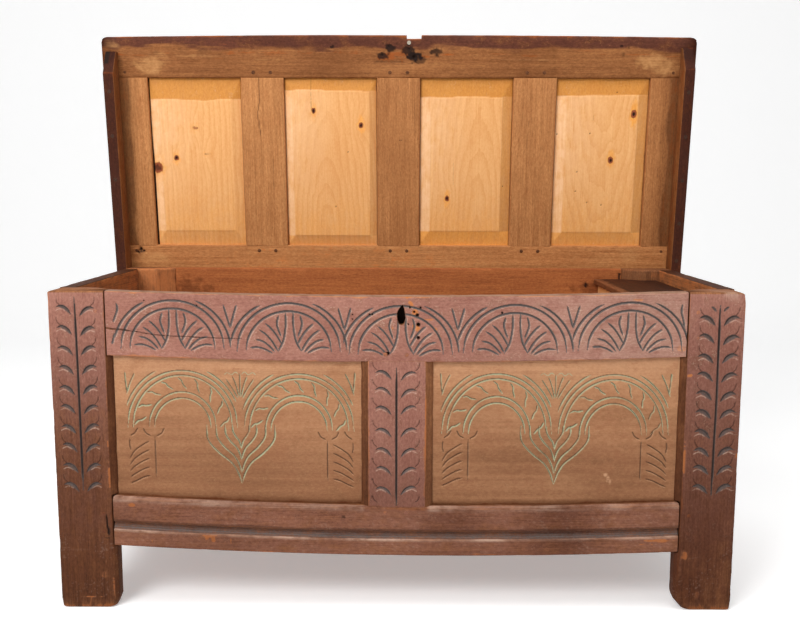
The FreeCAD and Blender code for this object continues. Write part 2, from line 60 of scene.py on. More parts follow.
# Places read from the frame
HALF = span("front_right_stile")[1][0]
FRONT = span("front_right_stile")[0][1]
BACK = span("back_right_stile")[1][1]
TOP = span("front_right_stile")[1][2]
RAIL_LOW, RAIL_TOP = span("back_bottom_rail")[0][2], span("back_bottom_rail")[1][2]
UPPER_LOW = span("back_top_rail")[0][2]
LIP_X = -span("front_left_stile")[1][0]
MUNTIN_X = span("front_muntin")[1][0]
HINGE = next(j for j in frame["joints"] if j["name"] == "lid_hinge")
PIVOT = np.array(HINGE["pos_m"]) / MM
LID_ANGLE = math.radians(-HINGE["range_deg"][0])
LID_HALF = span("lid_front_rail")[1][0]

# Sizes of the walls
STILE = 105.0
BACK_STILE = 114.0
STILE_DEPTH = 65.0
STILE_HEWN = 37.0
RAIL = 32.0
SHOULDER = HALF - STILE
BACK_SHOULDER = HALF - BACK_STILE
CHAMFER = 8.0
MUNTIN_CHAMFER = 14.0
TOP_EDGE_SAG = 9.0
UPPER_SAG = 11.0
LOWER_SAG = 14.0
LOWER_TILT = 4.8
RAIL_CORNER = 9.0
PANEL_RECESS = 10.0
PANEL_THICK = 14.0
BED = 2.0

# Sizes of the lid, which is built shut and then swung open
LID_UNDER = PIVOT[2] + 26.0
LID_THICK = 24.0
LID_FRONT = FRONT - 27.0
LID_BACK = BACK + 24.0
LID_FRONT_RAIL = 93.0
LID_REAR_RAIL = 116.0
LID_STILE = 103.0
LID_MUNTIN = 102.0
LID_SEAM_FRONT = LID_FRONT + LID_FRONT_RAIL
LID_SEAM_BACK = LID_BACK - LID_REAR_RAIL


# Noise and small helpers
NOISE_CELLS = 64


def smooth(value):
    """Eased step of a value that is cut to the range from 0 to 1."""
    value = np.clip(value, 0, 1)
    return value * value * (3 - 2 * value)


def noise(points, sizes, seed):
    """Smooth noise from -1 to 1 at points, with a grain size along each axis."""
    table = np.random.default_rng(seed).uniform(-1, 1, (NOISE_CELLS,) * 3)
    place = np.asarray(points, float) / np.asarray(sizes, float)
    cell = np.floor(place).astype(int)
    step = smooth(place - cell)
    total = 0.0
    for corner in np.ndindex(2, 2, 2):
        weight = np.prod(np.where(np.array(corner), step, 1 - step), axis=-1)
        pick = (cell + corner) % NOISE_CELLS
        total = total + weight * table[pick[..., 0], pick[..., 1], pick[..., 2]]
    return total


def at_least(marks, key, value, pick=...):
    """Raises a mark to a value wherever it is lower."""
    marks[key][pick] = np.maximum(marks[key][pick], value)


def spread(start, stop, pitch, margin):
    """Even steps from start to stop, with a support line near each end."""
    length = abs(stop - start)
    margin = min(margin, length / 4) * np.sign(stop - start)
    count = max(2, int(round((length - 2 * abs(margin)) / pitch)) + 1)
    inner = np.linspace(start + margin, stop - margin, count)
    return np.concatenate([[start], inner, [stop]])


def sag(x, depth):
    """How far a front rail hangs down at x."""
    return depth * np.clip(1 - (x / SHOULDER) ** 2, 0, 1)


# Board sections and sweeps, with the sizes of a board's waves and chips, each across and along it
WAVE_SIZES = (55.0, 210.0)
NICK_SIZES = (16.0, 26.0)
WORN_WIDTH = 14.0


def rect(a, b, c, d):
    """Corners of a rectangle from a to b on the first axis and c to d on the second. Its sides are
    numbered 0 at c, 1 at b, 2 at d and 3 at a."""
    return [(a, c), (b, c), (b, d), (a, d)]


def section(corners, ease, pitches):
    """Loop round a polygon with eased corners: points, side of each point, distance to its arris."""
    corners = np.array(corners, float)
    count = len(corners)
    points, sides, gaps = [], [], []
    for k in range(count):
        here = corners[k]
        behind = corners[k - 1] - here
        ahead = corners[(k + 1) % count] - here
        behind_ease = behind * min(ease / np.linalg.norm(behind), 0.4)
        ahead_ease = ahead * min(ease / np.linalg.norm(ahead), 0.4)
        for t in (0.0, 0.25, 0.5, 0.75, 1.0):
            points.append(here + behind_ease * (1 - t) ** 2 + ahead_ease * t ** 2)
            sides.append((k - 1) % count if t < 0.5 else k)
            gaps.append(ease * abs(2 * t - 1))
        start = np.linalg.norm(ahead_ease)
        stop = np.linalg.norm(ahead) - start
        for at in spread(start, stop, pitches[k], 2 * ease)[1:-1]:
            points.append(here + ahead * (at / np.linalg.norm(ahead)))
            sides.append(k)
            gaps.append(min(at, np.linalg.norm(ahead) - at))
    return np.array(points), np.array(sides), np.array(gaps)


def outward(points):
    """Outward unit normals of a closed loop."""
    tangent = np.roll(points, -1, 0) - np.roll(points, 1, 0)
    tangent = tangent / np.maximum(np.linalg.norm(tangent, axis=1, keepdims=True), 1e-9)
    after = np.roll(points, -1, 0)
    area = np.sum(points[:, 0] * after[:, 1] - after[:, 0] * points[:, 1])
    return np.stack([tangent[:, 1], -tangent[:, 0]], 1) * np.sign(area)


def sweep(corners, along, start, stop, pitch, pitches, seed, ease=2.5, end_ease=2.0, rough=0.3, chips=1.6,
          grain=None, coat=(), end_coats=(0.0, 0.0), worn_ends=True, stops=(), bend=None, work=None):
    """Board with a section swept along an axis. Gives points, faces and the marks of each point.
    pitch spaces the stations along the board and pitches the points on each side of its section.
    coat lists the painted sides and end_coats the paint on the two ends. stops are places along the
    board that get close stations. bend moves the points, and work carves and marks them."""
    loop, sides, gaps = section(corners, ease, pitches)
    normals = outward(loop)
    stations = np.concatenate([
        start + end_ease * np.array([0.0, 0.25, 0.6]),
        spread(start + end_ease, stop - end_ease, pitch, 4 * end_ease),
        stop - end_ease * np.array([0.6, 0.25, 0.0]),
        *[[at - 0.4, at + 0.4] for at in stops],
    ])
    stations.sort()
    stations = stations[np.diff(stations, prepend=start - 1) > 0.05]
    reach = np.minimum(stations - start, stop - stations)
    turn = 1 - np.clip(reach / end_ease, 0, 1)
    inset = end_ease * (1 - np.sqrt(1 - turn ** 2))
    others = [k for k in range(3) if k != along]
    points = np.empty((len(stations), len(loop), 3))
    points[..., along] = stations[:, None]
    points[..., others] = loop[None] - normals[None] * inset[:, None, None]
    lift = np.zeros((len(loop), 3))
    lift[:, others] = normals
    sizes = np.full(3, WAVE_SIZES[0])
    sizes[along] = WAVE_SIZES[1]
    nicks = np.full(3, NICK_SIZES[0])
    nicks[along] = NICK_SIZES[1]
    arris = np.clip(1 - gaps / (2.5 * ease), 0, 1) ** 2
    chip = np.clip(noise(points, nicks, seed + 1) + 0.5 * noise(points, nicks * 0.3, seed + 2), 0, 1)
    height = rough * noise(points, sizes, seed) - chips * chip * arris
    points = points + lift[None] * height[..., None]
    edge_gap = np.broadcast_to(gaps, points.shape[:2])
    if worn_ends:
        edge_gap = np.minimum(edge_gap, reach[:, None] + ease)
    order = [along] + others
    if grain is not None:
        order = [grain] + [k for k in range(3) if k != grain]
    offset = np.random.default_rng(seed).uniform(-9, 9, 3)
    painted = np.isin(sides, coat).astype(float)[None] * np.ones(len(stations))[:, None]
    for rows, tint in ((slice(0, 3), end_coats[0]), (slice(-3, None), end_coats[1])):
        painted[rows] = tint
    marks = {"edge": np.clip(1 - edge_gap / WORN_WIDTH, 0, 1), "coat": painted}
    for key in ("cut", "lip", "bare", "dark", "grime", "ring"):
        marks[key] = np.zeros(points.shape[:2])
    if bend:
        points = bend(points)
    marks["grain"] = points[..., order] * MM + offset
    if work:
        work(points, np.broadcast_to(sides, points.shape[:2]), marks)
    rows, columns = points.shape[:2]
    index = np.arange(rows * columns).reshape(rows, columns)
    right = np.roll(index, -1, 1)
    quads = np.stack([index[:-1], right[:-1], right[1:], index[1:]], -1).reshape(-1, 4)
    faces = quads.tolist() + [index[0, ::-1].tolist(), index[-1].tolist()]
    points = points.reshape(-1, 3)
    a, b, c, d = (points[quads[:, k]] - points.mean(0) for k in range(4))
    volume = np.sum(np.cross(b - a, c - a) * a) + np.sum(np.cross(c - a, d - a) * a)
    if volume < 0:
        faces = [face[::-1] for face in faces]
    return points, faces, {key: value.reshape(-1, *value.shape[2:]) for key, value in marks.items()}


def swing(points, angle=LID_ANGLE):
    """Turns points of the shut lid about its pivot, by default to where the open lid has them."""
    y = points[:, 1] - PIVOT[1]
    z = points[:, 2] - PIVOT[2]
    turned = points.copy()
    turned[:, 1] = PIVOT[1] + y * math.cos(angle) + z * math.sin(angle)
    turned[:, 2] = PIVOT[2] - y * math.sin(angle) + z * math.cos(angle)
    return turned


def build(node, chunks, body, slot, material, lid=False):
    """Makes one piece of swept boards in the place of a node."""
    points, faces, total = [], [], 0
    for chunk in chunks:
        points.append(swing(chunk[0]) if lid else chunk[0])
        faces.extend([[k + total for k in face] for face in chunk[1]] if total else chunk[1])
        total += len(chunk[0])
    mesh = bpy.data.meshes.new(node + "_look")
    mesh.from_pydata((np.concatenate(points) * MM).tolist(), [], faces)
    for key in chunks[0][2]:
        values = np.concatenate([chunk[2][key] for chunk in chunks]).astype(np.float32)
        kind = "FLOAT_VECTOR" if values.ndim == 2 else "FLOAT"
        attribute = mesh.attributes.new(key, kind, "POINT")
        attribute.data.foreach_set("vector" if values.ndim == 2 else "value", values.ravel())
    mesh.shade_smooth()
    mesh.materials.append(material)
    piece = bpy.data.objects.new(node + "_look", mesh)
    bpy.context.scene.collection.objects.link(piece)
    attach(piece, body)
    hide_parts(node)
    return piece


def board(node, look, *shape, **details):
    """Piece of one swept board. look gives its body, slot and material, and True if the lid swings it; the
    slot is not used.
    """
    return build(node, [sweep(*shape, **details)], *look)


# Carving, with the height of the lunettes and, on the panels, the places of arches, columns and heart
LUNETTE_BASE = 518
ARCH_X = 111
COLUMN_X = 165
CAPITAL_Z = 337
HEART_TOP = 363


def curve(points, step=1.2):
    """Points along a smooth line through a few given ones."""
    points = np.array(points, float)
    padded = np.concatenate([2 * points[:1] - points[1:2], points, 2 * points[-1:] - points[-2:-1]])
    line = []
    for k in range(len(points) - 1):
        p, q, r, s = padded[k:k + 4]
        count = max(2, int(np.linalg.norm(r - q) / step))
        t = (np.arange(count) / count)[:, None]
        line.append(0.5 * (2 * q + (r - p) * t + (2 * p - 5 * q + 4 * r - s) * t ** 2
                           + (3 * q - p - 3 * r + s) * t ** 3))
    return np.concatenate(line + [points[-1:]])


def ellipse(x, z, a, b, start, stop, count=11):
    """Points on an ellipse from one angle in degrees to another."""
    angles = np.radians(np.linspace(start, stop, count))
    return np.stack([x + a * np.cos(angles), z + b * np.sin(angles)], 1)


def mirrored(x, z, points):
    """The same points to the right and to the left of an upright line."""
    return [[(x + way * u, z + v) for u, v in points] for way in (1, -1)]


def stroke(points, width, depth, slant=0.0, **tints):
    """One cut of a gouge: its line, width, depth and how much of each mark it carries.
    A slanted cut is steep above its line and runs out gently below it."""
    return {"line": points, "width": width, "depth": depth, "slant": slant, "tints": tints}


def gouge(strokes, u, v, marks, pick):
    """Depth of the strokes at points of a face; their marks go into the face's points."""
    depth = np.zeros(len(u))
    for item in strokes:
        line = curve(item["line"])
        low, high = line.min(0) - item["width"], line.max(0) + item["width"]
        near = np.flatnonzero((u > low[0]) & (u < high[0]) & (v > low[1]) & (v < high[1]))
        if not len(near):
            continue
        gap = np.hypot(u[near, None] - line[None, :, 0], v[near, None] - line[None, :, 1])
        nearest = gap.argmin(1)
        gap = gap.min(1)
        below = smooth((line[nearest, 1] - v[near]) / 2 + 0.5) * item["slant"]
        gap = gap * (1 + item["slant"]) / (1 + 2.2 * below)
        swell = np.sin(math.pi * nearest / (len(line) - 1))
        taper = np.clip(swell * 1.2, 0.12, 1) if item["slant"] else np.clip(swell * 2 + 0.3, 0.3, 1)
        wall = np.clip(1 - gap / (item["width"] / 2 * taper), 0, 1)
        depth[near] = np.maximum(depth[near], item["depth"] * taper * smooth(wall))
        for key, strength in item["tints"].items():
            held = marks[key][pick]
            tint = strength * smooth(2.2 * wall) * (1 - 0.6 * below)
            held[near] = np.maximum(held[near], tint)
            marks[key][pick] = held
    return depth


def blot(marks, key, pick, u, v, spots):
    """Adds soft ragged spots, each (u, v, half width, half height, strength), to a mark."""
    held = marks[key][pick]
    ragged = noise(np.stack([u, v, 0 * u], -1), (11, 11, 11), 41) * 0.45
    ragged = ragged + noise(np.stack([u, v, 0 * u], -1), (4, 4, 4), 42) * 0.35
    if key == "lip":
        ragged = ragged * 0.5
    for cu, cv, a, b, strength in spots:
        gap = np.hypot((u - cu) / a, (v - cv) / b) + ragged
        held = np.maximum(held, strength * smooth(1.6 - 1.4 * gap))
    marks[key][pick] = held


def front_place(points):
    """Place on the front, and the axis that cuts go in along."""
    return points[:, 0], points[:, 2], 1


def lid_place(points):
    """Place under the lid: across it and in front of the pivot, and the axis that cuts go in along."""
    return points[:, 0], PIVOT[1] - points[:, 1], 2


def carve(face, strokes=(), holes=(), spots={}, place=front_place, extra=None):
    """Work for a board: cuts strokes and round holes into one side and lays spots on it."""
    def work(points, sides, marks):
        pick = sides == face
        u, v, axis = place(points[pick])
        depth = gouge(strokes, u, v, marks, pick)
        # Round holes are darkened inside, partly for stain and partly as painted shade in the hollow
        for cu, cv, radius, deep in holes:
            wall = smooth(1.5 - np.hypot(u - cu, v - cv) / radius)
            depth = np.maximum(depth, deep * wall)
            at_least(marks, "dark", wall, pick)
        points[pick, axis] += depth
        for key, list_of_spots in spots.items():
            blot(marks, key, pick, u, v, list_of_spots)
        if extra:
            extra(points, sides, marks)
    return work


def groove(line, width, depth):
    """Cut filled with dark colour, with painted shade black under its upper left wall and a painted
    highlight at its lower right.
    """
    line = np.array(line, float)
    return [stroke(line, width, depth, cut=0.95),
            stroke(line + (-1.1, 0.9), width * 0.45, depth * 0.4, dark=0.55),
            stroke(line + (2.4, -1.9), 2.6, 0.0, lip=0.6)]


def lunette(x, base):
    """One carved half-round with its fan of leaves."""
    rings = (
        ellipse(x, base, 97, 91, 180, 0),
        ellipse(x, base, 80, 76, 180, 0),
        ellipse(x, base, 110, 99, 168, 118),
        ellipse(x, base, 109, 99, 66, 2),
    )
    leaves = (
        [(7, 74), (7.5, 45), (12, 20), (22, 0)],
        [(20, 68), (23.5, 54), (21, 42), (16, 29)],
        [(45, 53), (34, 43), (24, 30), (15, 14)],
        [(57, 41), (44, 32), (32, 18), (22, 1)],
        [(64, 23), (50, 19), (38, 10), (28, -1)],
        [(74, 7), (60, 8), (46, 4), (33, -3)],
    )
    strokes = []
    for ring in rings:
        strokes += groove(ring, 5.4, 2.8)
    for leaf in leaves:
        for line in mirrored(x + 2, base, leaf):
            strokes += groove(line, 4.8, 2.3)
    return strokes


def rail_base(x):
    """Height that the lunettes stand on, which follows the rail's sag."""
    return LUNETTE_BASE - 1.5 * sag(x, 10.0)


def rail_strokes():
    """Five lunettes with pairs of sprigs between them, and the long crack at the left."""
    centres = (-419, -201, 9, 223, 438)
    lifts = (0.5, 2.5, 0.0, 0.0, -2.0)
    strokes = []
    for x, lift in zip(centres, lifts):
        strokes += lunette(x, rail_base(x) + lift)
    for left, right in zip(centres, centres[1:]):
        middle = (left + right) / 2
        for line in mirrored(middle, rail_base(middle), [(12, 87), (6, 66), (0, 45)]):
            strokes += groove(line, 4.8, 2.2)
    ends = ([(-522, 598), (-520, 588), (-524, 575), (-529, 562)], [(-527, 541), (-532, 521)],
            [(533, 600), (531, 585), (535, 570), (538, 556)])
    for line in ends:
        strokes += groove(line, 4.8, 2.2)
    crack = [(-545, 551), (-520, 548), (-490, 545), (-455, 539), (-430, 537), (-370, 534), (-280, 531)]
    split = [(-546, 552), (-530, 549), (-512, 548), (-498, 545)]
    return strokes + [stroke(crack, 2.4, 3.0, dark=0.75), stroke(split, 5.5, 2.5, dark=0.55, bare=0.5)]


def leafy_stem(x, low, high, heights, reach, widths, out, shade, seed):
    """Upright stem with a pair of crescent leaves and thin veins at each height. out is how far the
    veins reach, as a share of the leaves' reach, and shade is how dark the leaves are. Each leaf has
    painted shade under its steep upper wall and a painted highlight along its lower edge, and the
    veins are painted shade in shallow cuts."""
    jitter = np.random.default_rng(seed)
    lean = jitter.uniform(-1, 1, 3)
    strokes = [stroke([(x + lean[0], high), (x + lean[1], (low + high) / 2), (x + lean[2], low)],
                      5.4, 3.4, cut=1.0, dark=0.72)]
    for z in heights:
        for way in (1, -1):
            shift = jitter.uniform(-1.5, 1.5)
            width = jitter.uniform(*widths)
            leaf = [(1.0, -2), (0.74, 2), (0.44, -3), (0.2, -16)]
            line = np.array([(x + way * reach * share, z + drop + shift) for share, drop in leaf])
            strokes.append(stroke(line, width, 3.0, slant=0.6, cut=0.85, dark=shade))
            # Painted shade under the leaf's upper wall, then a painted highlight below the leaf
            strokes.append(stroke(line + (0, 0.5), width * 0.4, 1.2, dark=0.6))
            strokes.append(stroke(line[:3] - (0, width * 0.66), 2.6, 0.0, lip=0.55))
            vein = [(out, 20), (out - 0.06, 10), (out - 0.24, 3)]
            line = [(x + way * reach * share, z + drop + shift) for share, drop in vein]
            # Vein: painted shade in a shallow cut
            strokes.append(stroke(line, 3.0, 1.5, dark=0.55))
    return strokes


def inlaid(line, width):
    """Groove filled with pale colour, and painted shade as a dark line along its upper wall."""
    line = np.array(line, float)
    return [stroke(line, width, 2.0, cut=0.66), stroke(line + (-1.0, 1.5), 2.8, 0.8, dark=0.58)]


def shallow(line):
    """Cut without colour: painted shade on its upper wall and a painted highlight on its lower one."""
    line = np.array(line, float)
    return [stroke(line, 3.8, 1.8, dark=0.6), stroke(line + (0.6, -2.2), 2.4, 0.0, lip=0.5)]


def arch(x, z, stretch):
    """One carved arch of the panel with the leaves in its band."""
    strokes = []
    for a, b, start, stop in ((105, 110, 180, 0), (95, 101, 180, 0), (64, 69, 180, 0), (54, 57, 180, 0),
                              (113, 120, 160, 114), (113, 120, 65, 24)):
        strokes += inlaid(ellipse(x, z, a, b * stretch, start, stop), 4.8)
    for angle in np.linspace(172, 8, 9):
        steps = ((92, 5), (86, 0), (79, -2), (71, -8))
        turned = [(r, math.radians(angle + turn)) for r, turn in steps]
        line = [(x + r * math.cos(turn), z + 1.06 * stretch * r * math.sin(turn)) for r, turn in turned]
        strokes += inlaid(line, 4.4)
    return strokes


def column(x, way, top):
    """Column of the arches, with its capital and the leaves on its outer side."""
    strokes = []
    lines = [[(0, 0), (0, -40), (0, -80)], [(32, 18), (38, 8), (47, 2)], [(22, 17), (17, 7), (8, 2)],
             [(-18, 17), (-13, 7), (-3, 1)], [(48, -4), (49, -15), (47, -26)]]
    for k in range(5):
        lines.append([(10, -8 - 17 * k), (24, -16 - 16 * k), (40, -28 - 15 * k), (50, -44 - 12 * k)])
    for line in lines:
        strokes += shallow([(x + way * across, top + up) for across, up in line])
    return strokes


def panel_strokes(x, spring, drop, stretch):
    """Carving of a front panel about its middle: two arches on columns and a nested heart."""
    strokes = arch(x - ARCH_X, spring + drop, stretch) + arch(x + ARCH_X, spring - drop, stretch)
    corner = ([(218, 466), (217, 447), (215, 426)], [(199, 464), (209, 443), (216, 422)])
    for leaf in corner:
        for line in mirrored(x, 0, leaf):
            strokes += inlaid(line, 4.0)
    fan = ([(0, 464), (0, 442), (0, 418)], [(14, 458), (7, 439), (2, 418)], [(27, 453), (14, 433), (4, 415)])
    for leaf in fan:
        for line in mirrored(x, 0, leaf):
            strokes += inlaid(line, 3.4)
    for line in mirrored(x, 0, [(2, 461), (9, 466), (16, 461), (24, 465), (31, 460)]):
        strokes.append(stroke(line, 3.0, 1.0, cut=0.6))
    hang_shares = ((1.0, 1.0), (0.97, 0.75), (0.68, 0.54), (0.30, 0.36), (0.11, 0.19), (0.0, 0.0))
    for a, tip in ((65, 248), (47, 269), (30, 294), (16, 317)):
        ogee = [(a * across, tip + (HEART_TOP - tip) * up) for across, up in hang_shares]
        for line in mirrored(x, 0, ogee):
            strokes += inlaid(line, 4.6)
    strokes += column(x - COLUMN_X, -1, CAPITAL_Z + drop)
    return strokes + column(x + COLUMN_X, 1, CAPITAL_Z - drop)


# Materials

def paint(red, green, blue):
    """Colour from everyday 0 to 255 values."""
    linear = [((v / 255 + 0.055) / 1.055) ** 2.4 if v > 10 else v / 3294.6 for v in (red, green, blue)]
    return (*linear, 1.0)


class Shader:
    """Node tree of one material, filled by short calls."""

    def __init__(self, name):
        self.material = bpy.data.materials.new(name)
        self.material.use_nodes = True
        self.tree = self.material.node_tree
        self.surface = self.tree.nodes["Principled BSDF"]

    def add(self, kind, inputs, **settings):
        node = self.tree.nodes.new("ShaderNode" + kind)
        for key, value in settings.items():
            setattr(node, key, value)
        for key, value in inputs.items():
            if isinstance(value, bpy.types.NodeSocket):
                self.tree.links.new(value, node.inputs[key])
            else:
                node.inputs[key].default_value = value
        return node

    def mark(self, name):
        return self.add("Attribute", {}, attribute_name=name).outputs["Fac"]

    def math(self, operation, a, b=0.0):
        return self.add("Math", {0: a, 1: b}, operation=operation).outputs[0]

    def blend(self, *pairs):
        """Sum of values, each times a weight."""
        total = None
        for value, weight in pairs:
            part = self.times(value, weight)
            total = part if total is None else self.math("ADD", total, part)
        return total

    def times(self, a, b):
        return self.math("MULTIPLY", a, b)

    def mix(self, factor, a, b, blend="MIX"):
        node = self.add("Mix", {0: factor, 6: a, 7: b}, data_type="RGBA", blend_type=blend)
        return node.outputs[2]

    def lay(self, under, colour, factor, share=None, blend="MIX"):
        """Lays an everyday colour over another one, by a factor or by a share of it."""
        if share is not None:
            factor = self.times(factor, share)
        return self.mix(factor, under, paint(*colour), blend)

    def ramp(self, value, low, high):
        """Eased step of a value between two limits."""
        node = self.add("MapRange", {"Value": value, "From Min": low, "From Max": high},
                        interpolation_type="SMOOTHSTEP")
        return node.outputs["Result"]

    def noise(self, vector, waves, detail=3.0, roughness=0.55):
        """Noise with a number of waves to the metre along, across and through the grain."""
        scaled = self.add("VectorMath", {0: vector, 1: waves}, operation="MULTIPLY").outputs[0]
        inputs = {"Vector": scaled, "Scale": 1.0, "Detail": detail, "Roughness": roughness}
        return self.add("TexNoise", inputs).outputs["Fac"]

    def finish(self, colour, roughness, height, relief):
        bump = self.add("Bump", {"Height": height, "Strength": 0.7, "Distance": relief})
        for key, value in (("Base Color", colour), ("Roughness", roughness), ("Normal", bump.outputs[0])):
            self.tree.links.new(value, self.surface.inputs[key])
        return self.material


PORE = (60, 32, 16)
# Pores; grime that also darkens for painted shade; near black for stains, cracks and painted shade
GRIME_AND_SHADE = (121, 95, 69)
STAIN_AND_SHADE_BLACK = (34, 20, 14)


def wood(name, raw, coat, cut, wear, pale=(205, 176, 156), grain_contrast=1.0, ring_depth=0.0,
         rough=(0.55, 0.8), shine=0.12, pore_depth=0.35, mottling=0.9):
    """Wood with old paint on it. raw and coat are a dark and a light colour each; cut fills the
    grooves, wear shows on worn edges and bare patches, and pale on scuffs, worn lips and painted
    highlights."""
    s = Shader(name)
    grain = s.add("Attribute", {}, attribute_name="grain").outputs["Vector"]
    fine = s.noise(grain, (11, 520, 520), 4.0, 0.65)
    streak = s.noise(grain, (3.5, 110, 110), 3.0, 0.6)
    pores = s.noise(grain, (60, 1100, 1100), 1.0, 0.5)
    cloud = s.noise(grain, (6, 9, 9), 4.0, 0.6)
    smudge = s.noise(grain, (34, 48, 48), 3.0, 0.6)
    speck = s.noise(grain, (300, 340, 340), 2.0, 0.5)
    mottle = s.noise(grain, (150, 260, 260), 4.0, 0.7)

    # Bare wood
    figure = s.blend((fine, 0.4), (streak, 0.4), (mottle, 0.2))
    span_half = 0.22 / grain_contrast
    bare = s.mix(s.ramp(figure, 0.5 - span_half, 0.5 + span_half), paint(*raw[0]), paint(*raw[1]))
    if ring_depth:
        phase = s.blend((s.mark("ring"), 0.085), (cloud, 2.4), (streak, 0.5))
        bare = s.lay(bare, raw[0], s.ramp(s.math("FRACT", phase), 0.35, 1.0), ring_depth)
    bare = s.lay(bare, raw[0], s.ramp(cloud, 0.42, 0.75), 0.35)
    bare = s.lay(bare, PORE, s.ramp(pores, 0.58, 0.70), pore_depth)

    # Paint film, with scuffs, flecks and worn arrises
    tone = s.blend((cloud, 0.4), (smudge, 0.3), (fine, 0.2), (mottle, 0.3))
    film = s.mix(s.ramp(tone, 0.42, 0.78), paint(*coat[0]), paint(*coat[1]))
    film = s.lay(film, raw[0], s.ramp(smudge, 0.5, 0.75), 0.4)
    film = s.lay(film, pale, s.ramp(s.blend((speck, 0.6), (smudge, 0.4)), 0.59, 0.67), 0.3)
    film = s.lay(film, wear, s.ramp(s.blend((mottle, 0.65), (cloud, 0.35)), 0.64, 0.70), 0.5)
    ragged = s.blend((s.mark("edge"), 1.0), (cloud, 1.0), (smudge, 0.8), (fine, 0.4))
    film = s.lay(film, wear, s.ramp(ragged, 1.92, 2.16), 0.65)
    bare = s.lay(bare, raw[0], s.ramp(ragged, 1.7, 2.2), 0.4)
    cover = s.blend((s.mark("coat"), 1.0), (smudge, 0.5), (fine, 0.3))
    colour = s.mix(s.ramp(cover, 0.6, 1.2), bare, film)

    # Marks laid on top
    chipped = s.blend((s.mark("bare"), 1.0), (fine, 0.5), (smudge, 0.5))
    colour = s.lay(colour, wear, s.ramp(chipped, 0.88, 1.12))
    # Grime, and in places painted shade, darkens the colour
    soiled = s.times(s.mark("grime"), s.ramp(s.blend((cloud, 0.6), (smudge, 0.4)), -0.1, 0.55))
    colour = s.lay(colour, GRIME_AND_SHADE, soiled, blend="MULTIPLY")
    # Pale for rubbed edges, and in places for painted highlights
    rubbed_and_highlight = s.times(s.mark("lip"), s.ramp(s.blend((smudge, 0.6), (fine, 0.4)), 0.3, 0.6))
    colour = s.lay(colour, pale, rubbed_and_highlight, 0.85)
    filled = s.blend((s.mark("cut"), 1.0), (speck, -0.45), (smudge, -0.45))
    colour = s.lay(colour, cut, s.ramp(filled, -0.32, 0.25))
    # Near black for stains and cracks, and for painted shade in holes, gaps and the upper walls of cuts
    colour = s.lay(colour, STAIN_AND_SHADE_BLACK, s.ramp(s.mark("dark"), 0.05, 0.95))
    colour = s.mix(mottling, colour, mottle, "SOFT_LIGHT")

    gloss = s.blend((figure, 0.5), (smudge, 0.5))
    gloss = s.math("ADD", s.times(gloss, rough[1] - rough[0]), rough[0])
    relief = s.blend((fine, 0.4), (speck, 0.2), (smudge, 0.15), (mottle, 0.35))
    s.surface.inputs["Specular IOR Level"].default_value = shine
    return s.finish(colour, gloss, relief, 0.0011)


RED = ((141, 92, 78), (172, 122, 106))
SLATE = (100, 90, 86)
ORANGE = (190, 118, 70)
painted = wood("worn_red_paint", ((112, 68, 44), (172, 116, 76)), RED, SLATE, ORANGE, mottling=0.4)
washed = wood("brown_wash", ((136, 88, 56), (180, 126, 86)), ((162, 111, 78), (191, 141, 103)),
              (162, 162, 130), (160, 96, 60), pale=(204, 158, 122), mottling=0.2)
inside = wood("bare_oak", ((134, 70, 37), (194, 117, 65)), RED, SLATE, (190, 130, 80), grain_contrast=0.6,
              mottling=0.5)
lid_oak = wood("lid_oak", ((156, 97, 54), (210, 144, 89)), ((103, 60, 46), (134, 80, 60)), SLATE,
               (200, 112, 54), pale=(200, 146, 92), grain_contrast=0.95, mottling=0.5)
pine = wood("honey_pine", ((222, 152, 88), (248, 194, 132)), ((230, 151, 65), (250, 176, 88)), SLATE,
            (148, 78, 48), pale=(252, 208, 164), grain_contrast=0.5, ring_depth=0.45, rough=(0.45, 0.62),
            pore_depth=0.0, mottling=0.3)
dark_oak = wood("dark_oak", ((44, 21, 10), (82, 42, 22)), RED, SLATE, (120, 72, 44), mottling=0.5)
pegs = wood("peg_wood", ((80, 48, 30), (126, 80, 50)), RED, SLATE, (120, 80, 50))


def metal(name, dark, light, shine):
    """Old metal with spots of rust or tarnish."""
    s = Shader(name)
    place = s.add("TexCoord", {}).outputs["Object"]
    spots = s.noise(place, (900, 900, 900), 4.0, 0.6)
    colour = s.mix(s.ramp(spots, 0.35, 0.65), paint(*dark), paint(*light))
    s.surface.inputs["Metallic"].default_value = 0.7
    return s.finish(colour, s.math("ADD", s.times(spots, 0.4), shine), spots, 0.0004)


iron = metal("rusty_iron", (38, 30, 27), (92, 58, 40), 0.45)
pale_metal = metal("pale_metal", (150, 140, 122), (205, 196, 180), 0.25)

# Looks of the boards: body, slot and material, and whether the piece swings with the lid
PAINTED = ("chest", "painted_wood", painted)
PANEL = ("chest", "panel_wood", washed)
BARE = ("chest", "bare_wood", inside)
OPEN_LID = ("lid", "lid_wood", lid_oak, True)


# Front wall

SEAM = 1.8
SEAM_DEPTH = 5.0
SEAM_OVERLAP = 0.9

# The muntin is a little wider on the right, and runs flush into the rail below
MUNTIN_LEAN = 4.5
MUNTIN_FLAT = MUNTIN_X - MUNTIN_CHAMFER
FLUSH = MUNTIN_FLAT + 10.0


